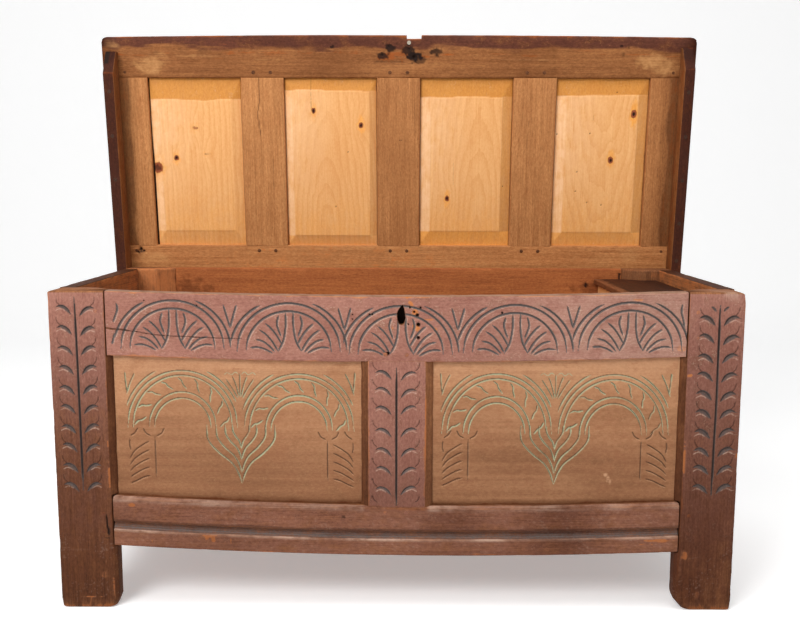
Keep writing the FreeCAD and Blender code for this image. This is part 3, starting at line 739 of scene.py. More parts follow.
def rail_bend(low, low_sag, high, high_sag, tilt=0.0, corner=0.0, flush=0.0):
    """Hangs a front rail down between its shoulders, lowers its right end, sinks its end seams, rounds
    its upper corners and leaves its upper chamfer out as far as flush from the middle."""
    def bend(points):
        x, y, z = (points[..., k] for k in range(3))
        up = (z - low) / (high - low)
        chamfer = (up > 0.94) & (y < FRONT + 6)
        y = y - chamfer * (y - FRONT) * smooth((flush - np.abs(x)) / 8)
        drop = sag(x, low_sag) * (1 - up) + sag(x, high_sag) * up + tilt * x / SHOULDER
        drop = drop + rounding(corner, SHOULDER - np.abs(x)) * smooth((up - 0.6) / 0.3)
        points[..., 2] = z - drop
        ends = np.abs(x) > SHOULDER - SEAM
        points[..., 1] = y + ends * SEAM_DEPTH * np.clip(1 - (y - FRONT) / RAIL, 0, 1)
        return points
    return bend


def dark_seams(points, sides, marks):
    """Dirt in the seams at the ends of a front rail."""
    marks["dark"][np.abs(points[..., 0]) > SHOULDER - SEAM - 0.2] = 0.9


def darken_downwards(low, high, least, most):
    """Darkens a board downwards through the mark of grime and painted shade, from least at one height to
    most at a lower one.
    """
    def extra(points, sides, marks):
        up = smooth((points[..., 2] - low) / (high - low))
        marks["grime"][:] = most + (least - most) * up
    return extra


def stile_soil_and_shade(points, sides, marks):
    """Grime and painted shade of the corner posts, from little at the top to full at the feet, where the
    paint also thins.
    """
    soiled = np.clip(1 - (points[..., 2] / 640) ** 2, 0, 1)
    marks["grime"][:] = 0.92 * soiled
    marks["coat"][:] *= 1 - 0.4 * soiled - 0.2 * smooth((190 - points[..., 2]) / 140)


def rounding(radius, gap):
    """How far an edge draws back at a distance from the corner that rounds it."""
    short = np.clip(radius - gap, 0, radius)
    return radius - np.sqrt(radius ** 2 - short ** 2)


def specks(points, marks, strength, seed):
    """Small pale scuffs that lie in clusters."""
    scatter = noise(points, (2.2, 2.2, 2.6), seed) + 0.5 * noise(points, (40, 40, 40), seed + 1)
    fleck = smooth((scatter - 0.55) / 0.25)
    for key in ("lip", "bare"):
        at_least(marks, key, strength * fleck)


def front_stile(node, way, work, inner_foot, outer_top, thin_paint, foot_shade, seed):
    """Corner post, with a chamfered lip towards the panel between the rails. inner_foot and outer_top are
    the rounding of its foot and top, thin_paint and foot_shade how bare and how dark it is below."""
    inner = way * SHOULDER
    outer = way * HALF
    lip = way * LIP_X
    corners = [(outer, FRONT), (inner, FRONT), (lip, FRONT + CHAMFER), (lip, FRONT + RAIL),
               (way * (SHOULDER + STILE_HEWN), FRONT + STILE_DEPTH), (outer, FRONT + STILE_DEPTH)]

    def bend(points):
        x, z = points[..., 0], points[..., 2]
        between = smooth((z - RAIL_TOP + way * LOWER_TILT) / 1.5) * smooth((UPPER_LOW - z) / 1.5)
        beyond = np.clip(way * (inner - x), 0, None)
        below = smooth((RAIL_LOW - way * LOWER_TILT - z - 1) / 1.5)
        x = x + way * beyond * (1 - np.maximum(between, FOOT_LIP * below))
        share = np.clip((x - inner) / (outer - inner), 0, 1)
        behind = np.clip((points[..., 1] - FRONT) / STILE_DEPTH, 0, 1)
        draw_in = rounding(inner_foot * (1 + 0.4 * behind), z)
        draw_out = rounding(FOOT_ROUND, z) + rounding(outer_top, TOP - z)
        points[..., 0] = x + way * (draw_in * (1 - share) - draw_out * share)
        return points

    def marking(points, sides, marks):
        z = points[..., 2]
        work(points, sides, marks)
        stile_soil_and_shade(points, sides, marks)
        # The chamfer and the lip's side beside the panel are bare wood, darkened by grime and painted shade
        chamfer = ((sides == 1) | (sides == 2)) & (z > RAIL_LOW)
        at_least(marks, "grime", 0.85, chamfer)
        marks["coat"][chamfer] = 0.0
        marks["coat"][:] *= 1 - thin_paint * smooth((480 - z) / 150)
        frayed = 9 + 9 * noise(points, (16, 16, 8), seed + 7) + 5 * noise(points, (5, 5, 5), seed + 8)
        at_least(marks, "bare", 0.6 * smooth((frayed - z) / 5))
        low = smooth((300 - z) / 150)
        marks["grime"][:] *= 1 - 0.45 * marks["bare"] + (0.05 * way - 0.02) * low
        at_least(marks, "dark", foot_shade * smooth((120 - z) / 90))
        marks["lip"][:] *= 1 - 0.7 * low
        specks(points, marks, 0.1 * smooth((190 - z) / 80), seed + 20)

    board(node, PAINTED, corners, Z, 0, TOP, 1.4, (1.4, 3, 12, 12, 12, 12), seed, ease=3.0, end_ease=4.0,
          coat=(0, 1, 2, 5), stops=(RAIL_TOP, UPPER_LOW), bend=bend, work=marking)


FOOT_ROUND = 10.0
FOOT_LIP = 0.55
left_cracks = [stroke([(-557, 188), (-556, 170), (-554, 147)], 4.0, 3.5, dark=0.95),
               stroke([(-554, 150), (-552, 110), (-550, 60)], 2.2, 1.5, dark=0.6),
               stroke([(-563, 144), (-557, 141), (-550, 145)], 2.4, 1.5, dark=0.6)]
left_chips = {"bare": [(-647, 430, 3, 16, 0.5), (-548, 330, 3, 16, 0.6), (-547, 265, 4, 26, 0.7),
                       (-551, 70, 3, 14, 0.7), (-548, 40, 4, 26, 0.55), (-590, 22, 26, 2, 0.7),
                       (-565, 66, 6, 8, 0.45)],
              "lip": [(-612, 118, 22, 3, 0.15)]}
right_chips = {"bare": [(556, 112, 6, 14, 0.65), (550, 90, 4, 30, 0.45), (585, 30, 6, 12, 0.45),
                        (551, 465, 5, 5, 0.75), (550, 425, 3, 6, 0.6), (548, 300, 3, 32, 0.8),
                        (648, 310, 4, 8, 0.7), (649, 520, 2, 20, 0.4)],
               "lip": [(622, 616, 20, 8, 0.4)]}
right_scratches = [stroke(line, 2.2, 0.3, lip=0.2) for line in (
    [(562, 104), (574, 106), (588, 109)], [(598, 99), (604, 101), (609, 107)])]
sprout = [stroke(line, 6.0, 2.4, slant=0.6, cut=0.85, dark=0.5)
          for line in mirrored(603, 0, [(18, 595), (12, 592), (5, 584)])]
front_stile("front_left_stile", -1, carve(
    0, leafy_stem(-599, 237, 606, np.linspace(590, 250, 10), 37, (8.5, 10.5), 1.0, 0.6, 11) + left_cracks,
    spots=left_chips), inner_foot=15.0, outer_top=4.0, thin_paint=0.35, foot_shade=0.2, seed=101)
front_stile("front_right_stile", 1, carve(
    0, leafy_stem(603, 227, 598, np.linspace(575, 250, 10), 38, (10.0, 12.5), 0.97, 0.55, 12) + sprout
    + right_scratches,
    spots=right_chips), inner_foot=30.0, outer_top=10.0, thin_paint=0.1, foot_shade=0.05, seed=102)

# Holes in the top rail: place, radius and depth
nail_holes = (
    (26, 591, 1.8, 5), (46, 591, 2.0, 5), (34, 583, 2.0, 5), (40, 577, 3.0, 6), (42, 559, 3.6, 8),
    (23, 560, 1.6, 4), (42, 534, 3.2, 6), (-15, 504, 3.2, 6), (-49, 578, 1.8, 4), (-44, 578, 1.8, 4),
    (-81, 578, 1.4, 3), (-81, 569, 1.4, 3), (198, 582, 2.0, 4), (-470, 603, 1.4, 3), (-372, 594, 1.6, 3))
rail_chips = {"bare": [(27, 600, 6, 8, 0.6), (38, 580, 8, 9, 0.7), (37, 554, 8, 7, 0.7),
                       (62, 569, 14, 2, 0.55), (74, 551, 4, 4, 0.6), (-6, 552, 4, 8, 0.55),
                       (-19, 553, 4, 5, 0.5), (-64, 567, 7, 2, 0.7), (84, 538, 4, 3, 0.5),
                       (535, 514, 12, 8, 0.5), (480, 508, 20, 4, 0.4), (24, 611, 10, 3, 0.7),
                       (442, 607, 20, 3, 0.6), (-110, 520, 10, 8, 0.35)],
              "dark": [(0, 603, 16, 5, 0.25), (-546, 612, 3, 10, 0.8)]}


def scuffed_top(points, sides, marks):
    """Top rail's face paler towards the right with painted light, its pale, worn upper edge and a little
    grime.
    """
    # Painted light: the face grows paler towards the right
    painted_highlight = 0.25 * smooth((points[..., 0] - 50) / 400)
    at_least(marks, "lip", painted_highlight * (sides == 3))
    marks["lip"][sides == 2] = 0.4
    marks["grime"][:] = 0.05
    marks["grime"][sides == 2] = 0.45
    dark_seams(points, sides, marks)


SEAMS = (SEAM - SHOULDER, SHOULDER - SEAM)
upper_rail = board(
    "front_top_rail", PAINTED, rect(FRONT, FRONT + RAIL, UPPER_LOW, TOP), X, -SHOULDER, SHOULDER, 1.35,
    (12, 12, 6, 1.35), 103, coat=(0, 3), bend=rail_bend(UPPER_LOW, UPPER_SAG, TOP, TOP_EDGE_SAG),
    worn_ends=False, end_ease=0.6, stops=SEAMS,
    work=carve(3, rail_strokes(), nail_holes, rail_chips, extra=scuffed_top))

KEYHOLE_DEPTH = 28.0


def pierce(piece, outline):
    """Cuts a deep hole with the given outline, seen from the front, into the rail, its walls and floor
    painted near black as shade.
    """
    count = len(outline)
    points = [(u * MM, y * MM, v * MM) for y in (FRONT - RAIL, FRONT + KEYHOLE_DEPTH) for u, v in outline]
    faces = [(k, count + k, count + (k + 1) % count, (k + 1) % count) for k in range(count)]
    faces += [tuple(range(count)), tuple(range(count, 2 * count))[::-1]]
    mesh = bpy.data.meshes.new("keyhole")
    mesh.from_pydata(points, [], faces)
    # Painted shade: the hole's walls and floor are near black
    mesh.attributes.new("dark", "FLOAT", "POINT").data.foreach_set("value", [0.95] * (2 * count))
    cutter = bpy.data.objects.new("keyhole", mesh)
    bpy.context.scene.collection.objects.link(cutter)
    modifier = piece.modifiers.new("keyhole", "BOOLEAN")
    modifier.object = cutter
    modifier.operation = "DIFFERENCE"
    modifier.solver = "EXACT"
    bpy.context.view_layer.update()
    shape = piece.evaluated_get(bpy.context.evaluated_depsgraph_get())
    cut = bpy.data.meshes.new_from_object(shape)
    piece.modifiers.clear()
    piece.data = cut
    bpy.data.objects.remove(cutter)


# The keyhole is worn to a drop that leans at the top
drop = [(12.5, 597), (8, 592), (3, 584), (1.8, 576), (3.5, 565), (6, 560), (10, 558.5), (14, 560),
        (17, 567), (17.4, 576), (15.5, 588), (12.5, 597)]
pierce(upper_rail, curve(drop, 2.0)[:-1])

# Moulding of the bottom rail, as depths behind its face and heights above its underside
mould = [(0, 0), (0, 31), (2.4, 32.4), (2.8, 36.2), (4.4, 37), (4.6, 40.6), (6.2, 41.4), (6.2, 45.4),
         (0, 48.4), (0, 94), (5, 99), (RAIL, 99), (RAIL, 0)]
lower_chips = {"bare": [(-508, 208, 14, 4, 0.75), (300, 214, 60, 4, 0.5), (215, 212, 24, 3, 0.55),
                        (-360, 182, 30, 16, 0.2), (-349, 186, 2, 9, 0.55), (-343, 184, 1.5, 8, 0.5)],
               "dark": [(-180, 190, 22, 14, 0.2), (-100, 186, 4, 4, 0.6)]}
low_chips = [(505, 140, 34, 3, 0.75), (484, 133, 22, 2, 0.6), (-354, 147, 20, 3, 0.8),
             (-351, 139, 6, 11, 0.75), (-340, 142, 3, 9, 0.7), (-365, 142, 4, 6, 0.7),
             (-470, 138, 4, 6, 0.6), (-318, 136, 2, 12, 0.65), (-60, 112, 14, 3, 0.5),
             (-200, 114, 30, 3, 0.5), (160, 112, 40, 3, 0.45), (-250, 115, 26, 2, 0.55),
             (30, 109, 30, 2, 0.5)]
# Darkness and slate colour of the moulding's steps, by side: its black paint with painted shade, deepest on
# the deep and the downward faces, and painted light on the upward ledge of side 3
mould_shades = ((2, 0.24, 0.42), (3, 0.1, 0.6), (4, 0.34, 0.42), (5, 0.34, 0.42), (6, 0.42, 0.3),
                (7, 0.4, 0.2))


def mould_paint(points, sides, marks):
    """Black paint in the moulding, brushed a little over its upper edge, with painted light and shade on
    its steps, grime and painted shade over the rail, pale arrises that are partly worn and partly painted
    highlight, chips along the arrises and a painted shadow line along the lower edge.
    """
    x = points[..., 0]
    up = points[..., 2] + sag(x, LOWER_SAG) + LOWER_TILT * x / SHOULDER - RAIL_LOW
    patchy = 0.16 * noise(points, (110, 60, 45), 84) + 0.3 * np.exp(-((x - 310) / 80) ** 2)
    # Grime and painted shade over the low rail
    marks["grime"][:] = np.where(sides == 8, 0.56, 0.5) + patchy
    marks["coat"][:] *= 0.5
    # Pale arrises on the chamfers and edges that face up: partly worn paint, partly painted highlight
    rubbed_and_highlight = smooth(0.5 + noise(points, (60, 30, 30), 83))
    pale = np.where(sides == 8, 0.4 * smooth((up - 84) / 8), 0.0) + np.where(sides == 9, 0.45, 0.0)
    pale = pale + np.where(sides == 1, 0.7, 0.0) + np.where(sides == 0, 0.6 * smooth((up - 27) / 3), 0.0)
    marks["lip"][:] = pale * (0.3 + 0.7 * rubbed_and_highlight) * (1 - smooth((FLUSH + 4 - np.abs(x)) / 8) * (up > 60))
    specks(points, marks, 0.1, 85)
    # Painted shadow along the lower arris
    marks["dark"][(sides == 0) & (up < 2.2)] = 0.35
    for side, shade, tint in mould_shades:
        marks["dark"][sides == side] = shade
        marks["cut"][sides == side] = tint
    brushed = 53 + 1.5 * noise(points, (90, 40, 40), 81) + 0.8 * noise(points, (14, 9, 9), 82)
    over = (sides == 8) & (up < brushed + 2)
    brush = 0.48 * smooth((brushed - up) / 4 + 0.5)
    at_least(marks, "dark", brush[over], over)
    pick = sides == 0
    blot(marks, "bare", pick, *front_place(points[pick])[:2], low_chips)
    dark_seams(points, sides, marks)


board("front_bottom_rail", PAINTED, [(FRONT + deep, RAIL_LOW + up) for deep, up in mould], X, -SHOULDER,
      SHOULDER, 4.0, (2.5, 1, 1.2, 1, 1.2, 1, 1.2, 1, 2.0, 1.5, 12, 12, 12), 104, ease=0.8, coat=range(10),
      bend=rail_bend(RAIL_LOW, LOWER_SAG, RAIL_TOP, LOWER_SAG, LOWER_TILT, RAIL_CORNER, FLUSH),
      worn_ends=False, end_ease=0.6, stops=SEAMS, work=carve(8, spots=lower_chips, extra=mould_paint))


def muntin_marks(points, sides, marks):
    """Grime and painted shade towards the bottom, painted shade on the chamfers, and bare orange wood in
    places along the arrises.
    """
    down = np.clip((480 - points[..., 2]) / 245, 0, 1)
    marks["grime"][:] = 0.1 + 0.5 * down ** 1.5
    # Painted shade on the chamfers at the muntin's two sides
    for side, most in ((1, 0.3), (5, 0.6)):
        marks["grime"][sides == side] = most + 0.25 * down[sides == side]
    x = points[..., 0]
    to_arris = np.minimum(np.abs(x + MUNTIN_FLAT), np.abs(x - MUNTIN_FLAT - MUNTIN_LEAN))
    worn = noise(points, (30, 30, 45), 77) + 0.2 * np.sign(x) - 0.3 * to_arris
    at_least(marks, "bare", 0.75 * smooth(worn * 2.5))


# Lowest veins of the muntin: painted shade in shallow cuts
last_veins = [stroke(line, 3.0, 1.5, dark=0.62) for line in mirrored(0.6, 212, [(45, 16), (42, 8), (36, 3)])]
muntin_heights = (468, 435.5, 401, 359, 319, 281.5, 244)
muntin_stem = leafy_stem(0.6, 205, 477, muntin_heights, 40, (6.8, 8.4), 1.12, 0.35, 13)
board("front_muntin", PAINTED, [
    (-MUNTIN_FLAT, FRONT), (MUNTIN_FLAT + MUNTIN_LEAN, FRONT), (MUNTIN_X + MUNTIN_LEAN, FRONT + CHAMFER),
    (MUNTIN_X, FRONT + RAIL), (-MUNTIN_X, FRONT + RAIL), (-MUNTIN_X, FRONT + CHAMFER)], Z,
    RAIL_TOP - LOWER_SAG - BED, UPPER_LOW - UPPER_SAG + BED, 1.3, (1.3, 2, 12, 12, 12, 2), 105,
    coat=(0,), worn_ends=False, end_ease=0.5, work=carve(0, muntin_stem + last_veins, extra=muntin_marks))


def panel_soil_light_and_shade(points, sides, marks):
    """Grime and painted shade growing towards the bottom of a front panel, streaks, a darker brown line
    just above the rail, uneven colour in the cuts and a pale strip of painted light at the top."""
    # Darker towards the bottom: grime and painted shade
    darken_downwards(230, 520, 0.0, 0.55)(points, sides, marks)
    marks["grime"][:] += 0.1 * noise(points, (140, 60, 50), 97) + 0.09 * noise(points, (240, 40, 6), 98)
    x = points[..., 0]
    above = points[..., 2] - RAIL_TOP + sag(x, LOWER_SAG) + LOWER_TILT * x / SHOULDER
    uneven = 1 + 0.6 * noise(points, (70, 40, 40), 99)
    low = smooth(1 - above / (13 * uneven))
    marks["grime"][:] = np.clip(marks["grime"] + 0.3 * low, 0, 1)
    at_least(marks, "bare", 0.5 * low)
    marks["cut"][:] *= np.clip(0.92 + 0.35 * noise(points, (26, 26, 26), 96), 0.5, 1)
    # Painted light: the top of the panel is paler
    at_least(marks, "lip", 0.4 * smooth((points[..., 2] - 430) / 70))


# Each panel's middle, the height its arches spring from, their tilt and their stretch
carvings = {"front_left_panel": (-295.5, 355, 3, 1.0), "front_right_panel": (303, 347, 0.5, 1.055)}
panel_spots = {
    "front_left_panel": {
        "dark": [(-400, 284, 40, 6, 0.1), (-350, 277, 34, 5, 0.12), (-300, 232, 130, 9, 0.16)]},
    "front_right_panel": {
        "dark": [(380, 312, 44, 22, 0.1), (472, 300, 22, 14, 0.1), (330, 228, 90, 9, 0.12)],
        "lip": [(402, 268, 5, 5, 0.9), (407, 262, 4, 5, 0.85), (411, 254, 3, 6, 0.7),
                (405, 256, 2, 4, 0.5)]},
}
for node, way, seed in (("front_left_panel", -1, 106), ("front_right_panel", 1, 107)):
    face = FRONT + PANEL_RECESS
    ends = sorted((way * (LIP_X + BED), way * (MUNTIN_X - BED)))
    board(node, PANEL, rect(face, face + PANEL_THICK, RAIL_TOP - LOWER_SAG - BED, UPPER_LOW + BED), X, *ends,
          1.3, (12, 12, 12, 1.3), seed, coat=(3,), worn_ends=False, end_ease=0.5,
          work=carve(3, panel_strokes(*carvings[node]), spots=panel_spots[node], extra=panel_soil_light_and_shade))

# Back wall, whose top edge is rounded about the pivot so that the lid can swing past it
SWING = 25.6


def swing_bend(points):
    """Keeps the back's top edge inside the round that the lid swings about."""
    rise = np.clip(points[..., 2] - PIVOT[2], 0, SWING - 0.4)
    points[..., 1] = np.minimum(points[..., 1], PIVOT[1] + np.sqrt(SWING ** 2 - rise ** 2))
    return points


def back_dirt(points, sides, marks):
    """Patchy grime on the outer half of a board of the back, thickest near the floor."""
    outer = points[..., 1] > points[..., 1].mean()
    patchy = 0.78 - 0.25 * smooth(points[..., 2] / 500) + 0.15 * noise(points, (150, 40, 60), 95)
    marks["grime"][outer] = patchy[outer]


def back_post(worn, soiled):
    """Grime and painted shade of a rear post, as on the front posts, and how worn and how darkened its faces
    inside the chest are.
    """
    def work(points, sides, marks):
        stile_soil_and_shade(points, sides, marks)
        hidden = (sides > 0) & (sides < 4)
        marks["bare"][hidden] = worn
        back_dirt(points, sides, marks)
        marks["grime"][hidden] = soiled
    return work


for node, way, seed in (("back_left_stile", -1, 110), ("back_right_stile", 1, 111)):
    corners = [(way * HALF, BACK), (way * BACK_SHOULDER, BACK), (way * BACK_SHOULDER, BACK - RAIL),
               (way * (BACK_SHOULDER + STILE_HEWN), BACK - STILE_DEPTH), (way * HALF, BACK - STILE_DEPTH)]
    board(node, PAINTED, corners, Z, 0, TOP, 5, (6,) * 5, seed, ease=3.0, end_ease=4.0, coat=(4,),
          stops=(TOP - 6, TOP - 8), bend=swing_bend,
          work=back_post(0.55, 0.1) if way < 0 else back_post(0.4, 0.4))
rail_slit = [stroke([(533, 614), (532, 600), (533, 586)], 7, 3, dark=0.95)]
rail_stains = {"dark": [(451, 583, 7, 7, 0.9), (-470, 575, 4, 3, 0.6)],
               "grime": [(470, 570, 60, 26, 0.45), (-500, 560, 60, 40, 0.5)]}
for node, seed in (("back_top_rail", 112), ("back_bottom_rail", 113)):
    low, high = span(node)
    board(node, BARE, rect(low[1], high[1], low[2], high[2]), X, -BACK_SHOULDER, BACK_SHOULDER, 5,
          (6, 3, 2, 4), seed, worn_ends=False, end_ease=1.0, bend=swing_bend,
          work=carve(3, rail_slit, spots=rail_stains, extra=back_dirt))
low, high = span("back_muntin")
board("back_muntin", BARE, rect(low[0], high[0], low[1], high[1]), Z, RAIL_TOP - BED, UPPER_LOW + BED, 5,
      (6,) * 4, 114, worn_ends=False, end_ease=1.0, work=back_dirt)
for node, seed in (("back_left_panel", 115), ("back_right_panel", 116)):
    low, high = span(node)
    board(node, BARE, rect(low[1], high[1], low[2] + BED, high[2] - BED), X, low[0] + BED, high[0] - BED, 8,
          (6, 8, 6, 8), seed, worn_ends=False, end_ease=1.0, work=back_dirt)

# End walls

def end_marks(inner_side):
    """Grime of an end rail: much on its top edge, little on its bare inner face."""
    def work(points, sides, marks):
        darken_downwards(100, 620, 0.1, 0.8)(points, sides, marks)
        marks["grime"][sides == inner_side] = 0.15
        marks["bare"][sides == inner_side] = 0.5
        marks["grime"][sides == 2] = 0.95
        marks["dark"][sides == 2] = 0.2
    return work


for name, way in (("left", -1), ("right", 1)):
    outer_side = 3 if way < 0 else 1
    for place, seed in (("top", 120), ("bottom", 124)):
        node = name + "_end_" + place + "_rail"
        low, high = span(node)
        board(node, PAINTED, rect(low[0], high[0], low[2], high[2]), Y, FRONT + STILE_DEPTH,
              BACK - STILE_DEPTH, 4, (6, 5, 6, 5), seed + way, coat=(outer_side,), worn_ends=False,
              end_ease=1.0, rough=0.12, work=end_marks(4 - outer_side))
    node = name + "_end_panel"
    low, high = span(node)
    board(node, PANEL, rect(low[0], high[0], low[2] + BED, high[2] - BED), Y, low[1] + BED, high[1] - BED, 6,
          (6,) * 4, 130 + way, coat=(outer_side,), worn_ends=False, end_ease=1.0,
          work=darken_downwards(200, 520, 0.1, 0.6))

# Floor and till

def till_marks(points, sides, marks):
    """Lighter, orange wood on the left of the till's lid and darker wood on its right."""
    x = points[..., 0]
    across = (x - x.min()) / (x.max() - x.min())
    marks["bare"][:] = 0.62 * smooth(1 - 2.6 * across)
    marks["grime"][:] = 0.55 * smooth(1.7 * across - 0.6)


def plain_board(node, look, seed, pitches=(8, 6, 8, 6), ease=1.5, work=None, widen=0.0):
    """Board that runs from front to back and fills its solid's box, or a little more to each side."""
    low, high = span(node)
    board(node, look, rect(low[0] - widen, high[0] + widen, low[2], high[2]), Y, low[1], high[1], 6, pitches,
          seed, ease=ease, work=work)


for k in range(1, 7):
    plain_board(f"floor_board_{k}", BARE, 140 + k, widen=SEAM_OVERLAP)
plain_board("till_side", ("chest", "bare_wood", pine), 150, (4, 5, 4, 5))
plain_board("till_bottom", BARE, 151)
plain_board("till_lid", ("till_lid", "dark_wood", dark_oak), 152, (5, 4, 5, 4), 2.0, till_marks)


# Lid

def lid_bar(node, corners, along, start, stop, seed, pitch=3.0, **details):
    """Board of the lid, made where the shut lid has it."""
    pitches = [pitch if abs(a[1] - b[1]) < 0.1 else 4.0
               for a, b in zip(corners, corners[1:] + corners[:1])]
    board(node, OPEN_LID, corners, along, start, stop, pitch, pitches, seed, **details)


LID_TOP = LID_UNDER + LID_THICK
NOTCH = (19.0, 53.0)
NOTCH_DEPTH = 8.0
LID_BOW = 5.0
LID_CORNER = 13.0


def notch_bend(points):
    """Bows the lid's front edge out a little, rounds its corners and cuts the lost hasp's notch."""
    x, y = points[..., 0], points[..., 1]
    outermost = np.clip((np.abs(x) - LID_HALF + 50) / 50, 0, 1)
    points[..., 0] = x - np.sign(x) * outermost * rounding(LID_CORNER, y - LID_FRONT)
    cut = (x > NOTCH[0]) & (x < NOTCH[1])
    bow = LID_BOW * (1 - (x / LID_HALF) ** 2) - 1
    edge = np.clip(1 - (y - LID_FRONT) / 60, 0, 1)
    points[..., 1] = y + (cut * NOTCH_DEPTH - bow) * edge
    return points


def past_cleats(points):
    """1 on the strips of the lid outside its cleats, which get painted shade, 0 elsewhere."""
    return smooth((np.abs(points[..., 0]) - HALF - 16) / 8)


def front_band(points, sides, marks):
    """Paint that runs over the front edge onto the underside, with a ragged border."""
    pick = sides == 0
    x, s = lid_place(points[pick])[:2]
    place = np.stack([x, s, 0 * x], -1)
    ragged = noise(place, (90, 40, 9), 61) * 9 + noise(place, (30, 5, 9), 62) * 6
    border = 528 + ragged - 6 * smooth((x - 350) / 200)
    marks["coat"][pick] = smooth((s - border) / 26)
    streaks = noise(place, (60, 3.5, 9), 64) + 0.5 * noise(place, (200, 90, 9), 65)
    near = np.exp(-((s - border + 4) / 16) ** 2)
    at_least(marks, "bare", 0.6 * near * smooth(streaks * 2), pick)
    # Grime, with painted shade on the strips outside the cleats
    marks["grime"][:] = 0.55 - 0.16 * noise(points, (160, 40, 40), 63) + 0.45 * past_cleats(points)


# Stains, orange streaks and pale scuffs under the lid's front rail
front_spots = {
    "dark": [(-21, 540, 18, 12, 0.8), (-38, 524, 18, 12, 0.8), (24, 533, 16, 12, 0.8),
             (36, 520, 18, 13, 0.95), (50, 512, 14, 9, 0.6), (86, 530, 18, 11, 0.75), (-5, 548, 10, 5, 0.5),
             (20, 545, 12, 6, 0.6), (-154, 540, 7, 5, 0.8), (516, 543, 5, 4, 0.8), (532, 540, 4, 4, 0.5),
             (520, 524, 6, 5, 0.5), (-574, 525, 18, 10, 0.25), (-450, 530, 26, 10, 0.3),
             (-500, 532, 20, 8, 0.25)],
    "bare": [(-18, 518, 44, 14, 0.55), (12, 524, 18, 16, 0.5), (-310, 527, 150, 5, 0.48),
             (-120, 528, 70, 6, 0.48)],
    "lip": [(-580, 498, 44, 20, 0.75), (-560, 508, 30, 22, 0.7), (-662, 543, 16, 8, 0.6),
            (590, 508, 44, 20, 0.75), (620, 496, 34, 22, 0.7), (-335, 556, 9, 3, 0.8),
            (-318, 557, 4, 2, 1.0), (-470, 520, 60, 3, 0.5), (300, 512, 60, 2, 0.5),
            (-300, 512, 40, 2, 0.35)],
}
lid_bar("lid_front_rail", rect(LID_FRONT, LID_SEAM_FRONT, LID_UNDER, LID_TOP), X, -LID_HALF, LID_HALF, 160,
        pitch=2.5, coat=(2, 3), end_coats=(1.0, 1.0), ease=4.0, end_ease=6.0, stops=NOTCH, bend=notch_bend,
        work=carve(0, [stroke([(-66, 506), (-20, 507), (22, 506)], 2.0, 1.2, dark=0.6)],
                   holes=((36, 518, 3, 6), (24, 536, 2, 4), (-38, 523, 2.5, 4), (-22, 542, 2, 4)),
                   spots=front_spots, place=lid_place, extra=front_band))
lid_bar("lid_rear_rail", rect(LID_SEAM_BACK, LID_BACK, LID_UNDER, LID_TOP), X, -LID_HALF, LID_HALF, 161,
        coat=(2, 1), end_coats=(1.0, 1.0), end_ease=4.0,
        work=carve(0, [stroke([(-14, 62), (0, 54), (14, 44)], 3.6, 0.0, lip=0.8),
                       stroke([(8, 33), (26, 31), (42, 30)], 3.0, 0.0, lip=0.7),
                       stroke([(420, 36), (428, 48), (440, 58)], 7.0, 0.0, lip=0.7)],
                   holes=((-628, 66, 4, 6), (-621, 62, 3, 5), (-636, 60, 3, 5)),
                   spots={"dark": [(-628, 64, 10, 8, 0.7)], "bare": [(-150, 40, 400, 60, 0.42)],
                          "lip": [(-590, 46, 40, 18, 0.8), (500, 44, 44, 16, 0.4), (560, 50, 30, 20, 0.5),
                                  (-80, 45, 420, 60, 0.3)]},
                   place=lid_place))
OPENING = (2 * (LID_HALF - LID_STILE) - 3 * LID_MUNTIN) / 4
uprights = [("lid_left_stile", -LID_HALF, LID_STILE - LID_HALF)]
for k, name in enumerate(("left", "middle", "right")):
    left = -LID_HALF + LID_STILE + OPENING * (k + 1) + LID_MUNTIN * k
    uprights.append((f"lid_{name}_muntin", left, left + LID_MUNTIN))
uprights.append(("lid_right_stile", LID_HALF - LID_STILE, LID_HALF))
muntin_cracks = {
    "lid_left_muntin": [stroke([(-327, 478), (-327, 420), (-331, 385), (-325, 330)], 3.4, 2.5, dark=0.6),
                        stroke([(-300, 300), (-298, 240), (-301, 180)], 1.8, 1.2, dark=0.4)],
    "lid_middle_muntin": [stroke([(-2, 330), (6, 327), (10, 329)], 2.2, 1.5, dark=0.7),
                          stroke([(36, 460), (38, 380), (36, 280)], 1.6, 1.0, dark=0.35)],
    "lid_right_muntin": [stroke([(304, 430), (306, 360), (303, 300)], 1.6, 1.0, dark=0.4)],
}


def stile_dirt_and_shadow(amount):
    """Grime of an upright of the lid, with painted shade towards the cleats at the lid's two ends, the
    painted shadow of each cleat beside it and painted shade on the strips outside the cleats.
    """
    def extra(points, sides, marks):
        past = np.abs(points[..., 0]) - HALF
        # Painted shade: darker towards the cleats and on the strips outside them
        beside = smooth((past + 46) / 30)
        marks["grime"][:] = np.clip(amount + 0.3 * beside + 0.55 * past_cleats(points), 0, 1)
        marks["lip"][:] = 0.25 - amount
        # Painted shadow that each cleat casts on the upright beside it, dark and reddish
        cleat_shadow = smooth((past + 24 + 8 * noise(points, (30, 60, 30), 66)) / 12) * (sides == 0)
        for key in ("dark", "bare"):
            at_least(marks, key, 0.45 * cleat_shadow)
    return extra


UPRIGHT_GAP = 0.4
upright_grime = (0.04, 0.0, 0.14, 0.08, 0.2)
for k, (node, left, right) in enumerate(uprights):
    coat = (2,) if "muntin" in node else (2, 3 if "left" in node else 1)
    lid_bar(node, rect(left + UPRIGHT_GAP, right - UPRIGHT_GAP, LID_UNDER, LID_TOP), Y,
            LID_SEAM_FRONT - SEAM_OVERLAP, LID_SEAM_BACK + SEAM_OVERLAP, 162 + k, pitch=2.5, coat=coat,
            worn_ends=False, end_ease=0.6,
            work=carve(0, muntin_cracks.get(node, ()), place=lid_place, extra=stile_dirt_and_shadow(upright_grime[k])))

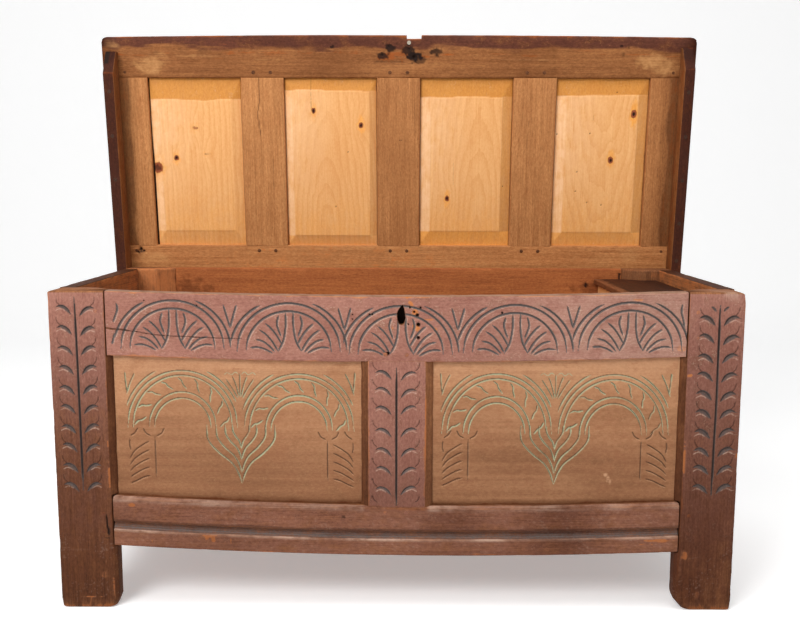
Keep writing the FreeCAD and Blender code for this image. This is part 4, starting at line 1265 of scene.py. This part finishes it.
LID_FRONT_BEVELS = (50.0, 28.0, 43.0, 38.0)
LID_REAR_BEVELS = (35.0, 24.0, 35.0, 33.0)
LID_SIDE_BEVELS = (23.0, 17.0, 24.0, 25.0)
PANEL_DROP = 9.0
FIELD_RECESS = 2.0
BEVEL_DROP = 7.0
# Painted shade on the right bevels of each panel, and on the rear bevels varnish with painted orange light
# bounced up from the chest's inside
RIGHT_TINTS = (0.1, 0.6, 1.0, 1.0)
REAR_TINTS = (0.5, 0.55, 0.9, 0.75)

# Knots of each lid panel: place, half width, half height and darkness
knots = (
    [(-529, 286, 5, 5, 0.8), (-575, 262, 12, 11, 0.6), (-481, 356, 7, 4, 0.46), (-454, 295, 7, 3, 0.46)],
    [(-200, 396, 4, 6, 0.75), (-88, 363, 5, 6, 0.8)],
    [(117, 190, 4, 6, 0.85)],
    [(553, 389, 5, 8, 0.9), (504, 282, 5, 7, 0.75)],
)
# Worm holes and drying cracks of each lid panel
worm_holes = ((), ((-150, 170), (-120, 300)), ((250, 220),),
              ((375, 343), (452, 345), (425, 254), (424, 208), (453, 181), (487, 176), (512, 439)))
panel_cracks = (
    [stroke([(-560, 470), (-561, 420), (-559, 380)], 1.8, 0.8, dark=0.3)],
    [stroke([(-206, 476), (-205, 430), (-206, 392)], 1.8, 0.8, dark=0.45)],
    [stroke([(130, 300), (131, 240), (129, 190)], 1.6, 0.8, dark=0.3)],
    [stroke([(459, 434), (460, 400), (457, 356)], 1.8, 0.8, dark=0.35)],
)
# Heart of the growth rings of each lid panel, across and in front of the pivot
ring_hearts = ((-640, 250), (-170, 60), (190, 40), (480, 700))


def on_bevel(share):
    """1 on a bevel and 0 beyond it, from the distance to the panel's edge as a share of its width."""
    return smooth((1.01 - share) / 0.03)


def lid_panel(k):
    """Pine panel, fielded underneath with bevels of uneven width."""
    left = -LID_HALF + LID_STILE + (OPENING + LID_MUNTIN) * k
    right = left + OPENING

    def field(points, sides, marks):
        x, s = points[..., 0], PIVOT[1] - points[..., 1]
        ring = np.hypot(x - ring_hearts[k][0], (s - ring_hearts[k][1]) * 0.16)
        for cx, cs, a, b, strength in knots[k]:
            ring = ring + 16 * np.exp(-((x - cx) / 16) ** 2 - ((s - cs) / 34) ** 2)
        marks["ring"][:] = ring
        marks["grime"][sides == 2] = 0.85
        pick = sides == 0
        x, y = points[pick][:, 0], points[pick][:, 1]
        side = np.minimum(x - left, right - x) / LID_SIDE_BEVELS[k]
        hand_cut = 2.5 * noise(np.stack([x, 0 * x, 0 * x], -1), (38, 9, 9), 171 + k)
        slope = np.minimum(side, (y - LID_SEAM_FRONT + hand_cut) / LID_FRONT_BEVELS[k])
        slope = np.minimum(slope, (LID_SEAM_BACK - y) / LID_REAR_BEVELS[k])
        shoulder = 0.8 * smooth((1.02 - slope) / 0.04)
        points[pick, 2] += FIELD_RECESS + BEVEL_DROP * np.clip(1 - slope, 0, 1) + shoulder
        lower = on_bevel((LID_SEAM_BACK - y) / LID_REAR_BEVELS[k])
        upper = on_bevel((y - LID_SEAM_FRONT + hand_cut) / LID_FRONT_BEVELS[k])
        between = 1 - np.maximum(upper, lower)
        right_hand = on_bevel((right - x) / LID_SIDE_BEVELS[k]) * between
        left_hand = on_bevel((x - left) / LID_SIDE_BEVELS[k]) * between
        s = PIVOT[1] - y
        right_hand = right_hand * RIGHT_TINTS[k]
        # Orange towards the rear rail and on the rear bevels: varnish, with painted light bounced up from
        # the chest's inside; the right bevels get painted shade
        varnish_and_bounce = 0.42 * (1 - smooth((s - 70) / 300))
        varnish_and_bounce = np.maximum(varnish_and_bounce, 0.7 * np.maximum(upper, REAR_TINTS[k] * lower))
        at_least(marks, "coat", np.maximum(varnish_and_bounce, 0.45 * right_hand), pick)
        at_least(marks, "grime", np.maximum(0.4 * upper, 0.25 * right_hand), pick)
        # Painted highlight on the left bevel and over the left of the field
        painted_highlight = 0.45 * smooth(1 - (x - left) / (0.7 * OPENING)) * smooth((s - 120) / 240)
        marks["lip"][pick] = np.maximum(0.7 * left_hand, painted_highlight * (1 - upper))
        dark = np.maximum(marks["dark"][pick], 0.55 * smooth((2.4 - np.minimum(x - left, right - x)) / 1.2))
        if k == 0:
            # Painted shade in the gap where the first panel has shrunk from the stile
            shrunk = 2.6 + 2.2 * smooth((420 - s) / 300)
            dark = np.maximum(dark, 0.95 * smooth((left + shrunk - x) / 1.4 + 0.5) * (s < 486))
        uneven = 0.25 * noise(np.stack([x, s, 0 * x], -1), (4, 6, 4), 175 + k)
        for cx, cs, a, b, strength in knots[k]:
            gap = np.hypot((x - cx) / a, (s - cs) / b) + uneven
            halo = np.hypot((x - cx) / (2.4 * a), (s - cs) / (4.5 * b)) + uneven
            at_least(marks, "coat", 0.8 * strength * smooth(1.4 - halo), pick)
            at_least(marks, "bare", 1.1 * strength * smooth(1.8 - gap), pick)
            marks["lip"][pick] *= 1 - smooth(2 - gap)
            dark = np.maximum(dark, 0.9 * smooth(2 * strength - 0.6) * smooth((0.95 - gap) / 0.5))
        marks["dark"][pick] = dark

    bores = [(x, s, 1.4, 2.0) for x, s in worm_holes[k]]
    board(f"lid_panel_{k + 1}", ("lid", "pine_panel", pine, True),
          rect(left - BED, right + BED, LID_UNDER, LID_TOP - PANEL_DROP), Y, LID_SEAM_FRONT - BED,
          LID_SEAM_BACK + BED, 2.2, (2.2, 5, 8, 5), 170 + k, worn_ends=False, end_ease=0.5, ease=1.0,
          work=carve(0, panel_cracks[k], bores, place=lid_place, extra=field))


for k in range(4):
    lid_panel(k)


def cleat_dirt(points, sides, marks):
    """Grime of a cleat, thickest on its front end, where the left one is split, and thin inside."""
    s = PIVOT[1] - points[..., 1]
    inner = 1 - smooth((np.abs(points[..., 0]) - HALF - 2.5) / 2)
    marks["grime"][:] = 0.9 + 0.1 * smooth((s - 490) / 30) - 0.2 * inner
    marks["bare"][:] = 0.4 * inner
    split = smooth((s - 498 + 14 * noise(points, (9, 14, 14), 91)) / 6)
    split = split * smooth((-620 - points[..., 0] - 45) / 3)
    marks["dark"][:] = np.maximum(0.95 * split, 0.3 * smooth((s - 505) / 10))


# Cleats: their inner and outer faces beyond the walls, depth, blunt end, slope and reach behind the pivot
CLEAT_NEAR, CLEAT_FAR = 2, 27
CLEAT_DEPTH = 45
CLEAT_END = 12
CLEAT_SLOPE = 48
CLEAT_TAIL = 30
for node, way, inset, end_coats, seed in (("left_cleat", -1, 34, (1.0, 0.0), 180),
                                          ("right_cleat", 1, 24, (0.0, 1.0), 181)):
    near, far = sorted((way * (HALF + CLEAT_NEAR), way * (HALF + CLEAT_FAR)))
    front = LID_FRONT + inset
    low = LID_UNDER - CLEAT_DEPTH
    tail = PIVOT[1] + CLEAT_TAIL
    profile = [(front, LID_UNDER), (front, LID_UNDER - CLEAT_END), (front + CLEAT_SLOPE, low),
               (PIVOT[1], low), (tail, PIVOT[2]), (tail, LID_UNDER)]
    board(node, OPEN_LID, profile, X, near, far, 3.0, (4, 4, 4, 4, 4, 6), seed, ease=2.5, grain=Y,
          coat=range(6), end_coats=end_coats, work=cleat_dirt)


# Pegs

def islands(node, shut=False):
    """Corners of the separate solids in a node, in the shut lid's place if asked."""
    mesh = frame["nodes"][node].data
    spots = np.array([v.co for v in mesh.vertices]) / MM
    if shut:
        spots = swing(spots, -LID_ANGLE)
    home = np.unique(spots.round(1), axis=0, return_inverse=True)[1].ravel()
    group = np.arange(home.max() + 1)
    ends = home[np.array([edge.vertices[:] for edge in mesh.edges])]
    while True:
        least = np.minimum(group[ends[:, 0]], group[ends[:, 1]])
        merged = group.copy()
        np.minimum.at(merged, ends[:, 0], least)
        np.minimum.at(merged, ends[:, 1], least)
        if (merged == group).all():
            break
        group = merged
    owner = group[home]
    return [(spots[owner == k].min(0), spots[owner == k].max(0)) for k in np.unique(owner)]


def peg_soil_and_shade(points, sides, marks):
    """Grime and painted shade of a peg, like that of the board it sits in."""
    stile_soil_and_shade(points, sides, marks)
    on_rails = np.abs(points[..., 0]) < SHOULDER
    marks["grime"][on_rails] = np.minimum(marks["grime"][on_rails], 0.42)


# Lid pegs over the rim stand out less than the gap between rim and lid
RIM_PROUD = 0.3
PEG_SIDES = 7


def peg_heads(node, body, material, proud, coat, shut=False):
    """Riven pegs, a little proud of the wood and not quite round."""
    chunks = []
    for k, (low, high) in enumerate(islands(node, shut)):
        axis = int(np.argmax(high - low))
        others = [n for n in range(3) if n != axis]
        middle = ((low + high) / 2)[others]
        out = RIM_PROUD if shut and abs(middle[0]) > SHOULDER else proud
        radius = (high - low)[others].max() / 2
        jitter = np.random.default_rng(300 + k)
        corners = []
        for angle in np.arange(PEG_SIDES) / PEG_SIDES * 2 * math.pi + jitter.uniform(0, 1):
            reach = radius * jitter.uniform(0.96, 1.08)
            corners.append(tuple(middle + reach * np.array([math.cos(angle), math.sin(angle)])))
        chunks.append(sweep(
            corners, axis, low[axis] - out, high[axis] + out, 12, (9,) * PEG_SIDES, 400 + k, ease=1.2,
            end_ease=1.2, rough=0.1, chips=0.4, coat=range(PEG_SIDES) if coat else (),
            end_coats=(coat, coat), work=None if shut else peg_soil_and_shade))
    build(node, chunks, body, "peg_wood", material, lid=shut)


for node, material, proud, coat in (("front_pegs", painted, 0.3, 1.0), ("left_end_pegs", painted, 0.4, 1.0),
                                    ("right_end_pegs", painted, 0.4, 1.0), ("back_pegs", pegs, 0.8, 0.0)):
    peg_heads(node, "chest", material, proud, coat)
peg_heads("lid_pegs", "lid", pegs, 0.8, 0.0, shut=True)

# Nails and pins keep their solids
for node, material in (("cleat_nails", iron), ("lid_rivet", pale_metal), ("left_pintle", pegs),
                       ("right_pintle", pegs)):
    frame["nodes"][node].data.materials.clear()
    frame["nodes"][node].data.materials.append(material)


# Stage, light and camera

def stage():
    """Pale floor that curves up behind into a backdrop."""
    s = Shader("studio_paper")
    place = s.add("TexCoord", {}).outputs["Object"]
    fibre = s.noise(place, (40, 40, 40), 3.0, 0.5)
    colour = s.mix(fibre, paint(238, 238, 238), paint(246, 246, 246))
    s.finish(colour, s.math("ADD", s.times(fibre, 0.1), 0.85), fibre, 0.0002)
    path = s.add("LightPath", {}).outputs
    seen = s.math("MAXIMUM", path["Is Camera Ray"], path["Is Glossy Ray"])
    seen = s.math("MAXIMUM", seen, path["Is Transmission Ray"])
    s.tree.links.new(s.times(seen, 0.32), s.surface.inputs["Emission Strength"])
    s.surface.inputs["Emission Color"].default_value = (1.0, 1.0, 1.0, 1.0)
    width, near, bend_start, radius, height = 8.0, -5.0, 3.0, 1.5, 5.0
    profile = [(near, 0.0), (bend_start, 0.0)]
    for angle in np.radians(np.linspace(0, 90, 16)):
        profile.append((bend_start + radius * math.sin(angle), radius * (1 - math.cos(angle))))
    profile.append((bend_start + radius, height))
    points = [(x, y, z) for x in (-width, width) for y, z in profile]
    count = len(profile)
    faces = [(k, count + k, count + k + 1, k + 1) for k in range(count - 1)]
    mesh = bpy.data.meshes.new("studio_floor")
    mesh.from_pydata(points, [], faces)
    mesh.shade_smooth()
    mesh.materials.append(s.material)
    floor = bpy.data.objects.new("studio_floor", mesh)
    bpy.context.scene.collection.objects.link(floor)


def lamp(name, place, aim, size, power):
    """Soft rectangular lamp that looks at a point."""
    light = bpy.data.lights.new(name, "AREA")
    light.shape = "RECTANGLE"
    light.size, light.size_y = size
    light.energy = power
    holder = bpy.data.objects.new(name, light)
    holder.location = place
    holder.rotation_euler = (Vector(aim) - Vector(place)).to_track_quat("-Z", "Y").to_euler()
    bpy.context.scene.collection.objects.link(holder)


def sky():
    """Even white light from all round, seen as plain white."""
    world = bpy.data.worlds.new("studio")
    bpy.context.scene.world = world
    world.use_nodes = True
    background = world.node_tree.nodes["Background"]
    background.inputs["Color"].default_value = (1.0, 1.0, 1.0, 1.0)
    path = world.node_tree.nodes.new("ShaderNodeLightPath")
    level = world.node_tree.nodes.new("ShaderNodeMapRange")
    level.inputs["To Min"].default_value = 0.5
    level.inputs["To Max"].default_value = 1.0
    world.node_tree.links.new(path.outputs["Is Camera Ray"], level.inputs["Value"])
    world.node_tree.links.new(level.outputs["Result"], background.inputs["Strength"])


stage()
sky()
lamp("front_softbox", (-1.7, -2.7, 2.7), (0, 0, 0.7), (1.8, 1.4), 95)
lamp("top_softbox", (0.4, -0.8, 3.4), (0, 0, 0.5), (2.2, 1.6), 45)

# Camera, fitted to the chest's corners in the photo
CAMERA_PLACE = (0.0178, -2.03265, 0.8084)
PAN, TILT, ROLL = (math.radians(angle) for angle in (0.34, 82.06, 0.12))
SENSOR_WIDTH, FOCAL_LENGTH = 36.0, 42.34
lens = bpy.data.cameras.new("photo_camera")
lens.sensor_width = SENSOR_WIDTH
lens.lens = FOCAL_LENGTH
camera = bpy.data.objects.new("photo_camera", lens)
turn = Matrix.Rotation(PAN, 4, "Z") @ Matrix.Rotation(TILT, 4, "X") @ Matrix.Rotation(ROLL, 4, "Z")
camera.matrix_world = Matrix.Translation(CAMERA_PLACE) @ turn
bpy.context.scene.collection.objects.link(camera)
bpy.context.scene.camera = camera
bpy.context.scene.view_settings.view_transform = "Standard"
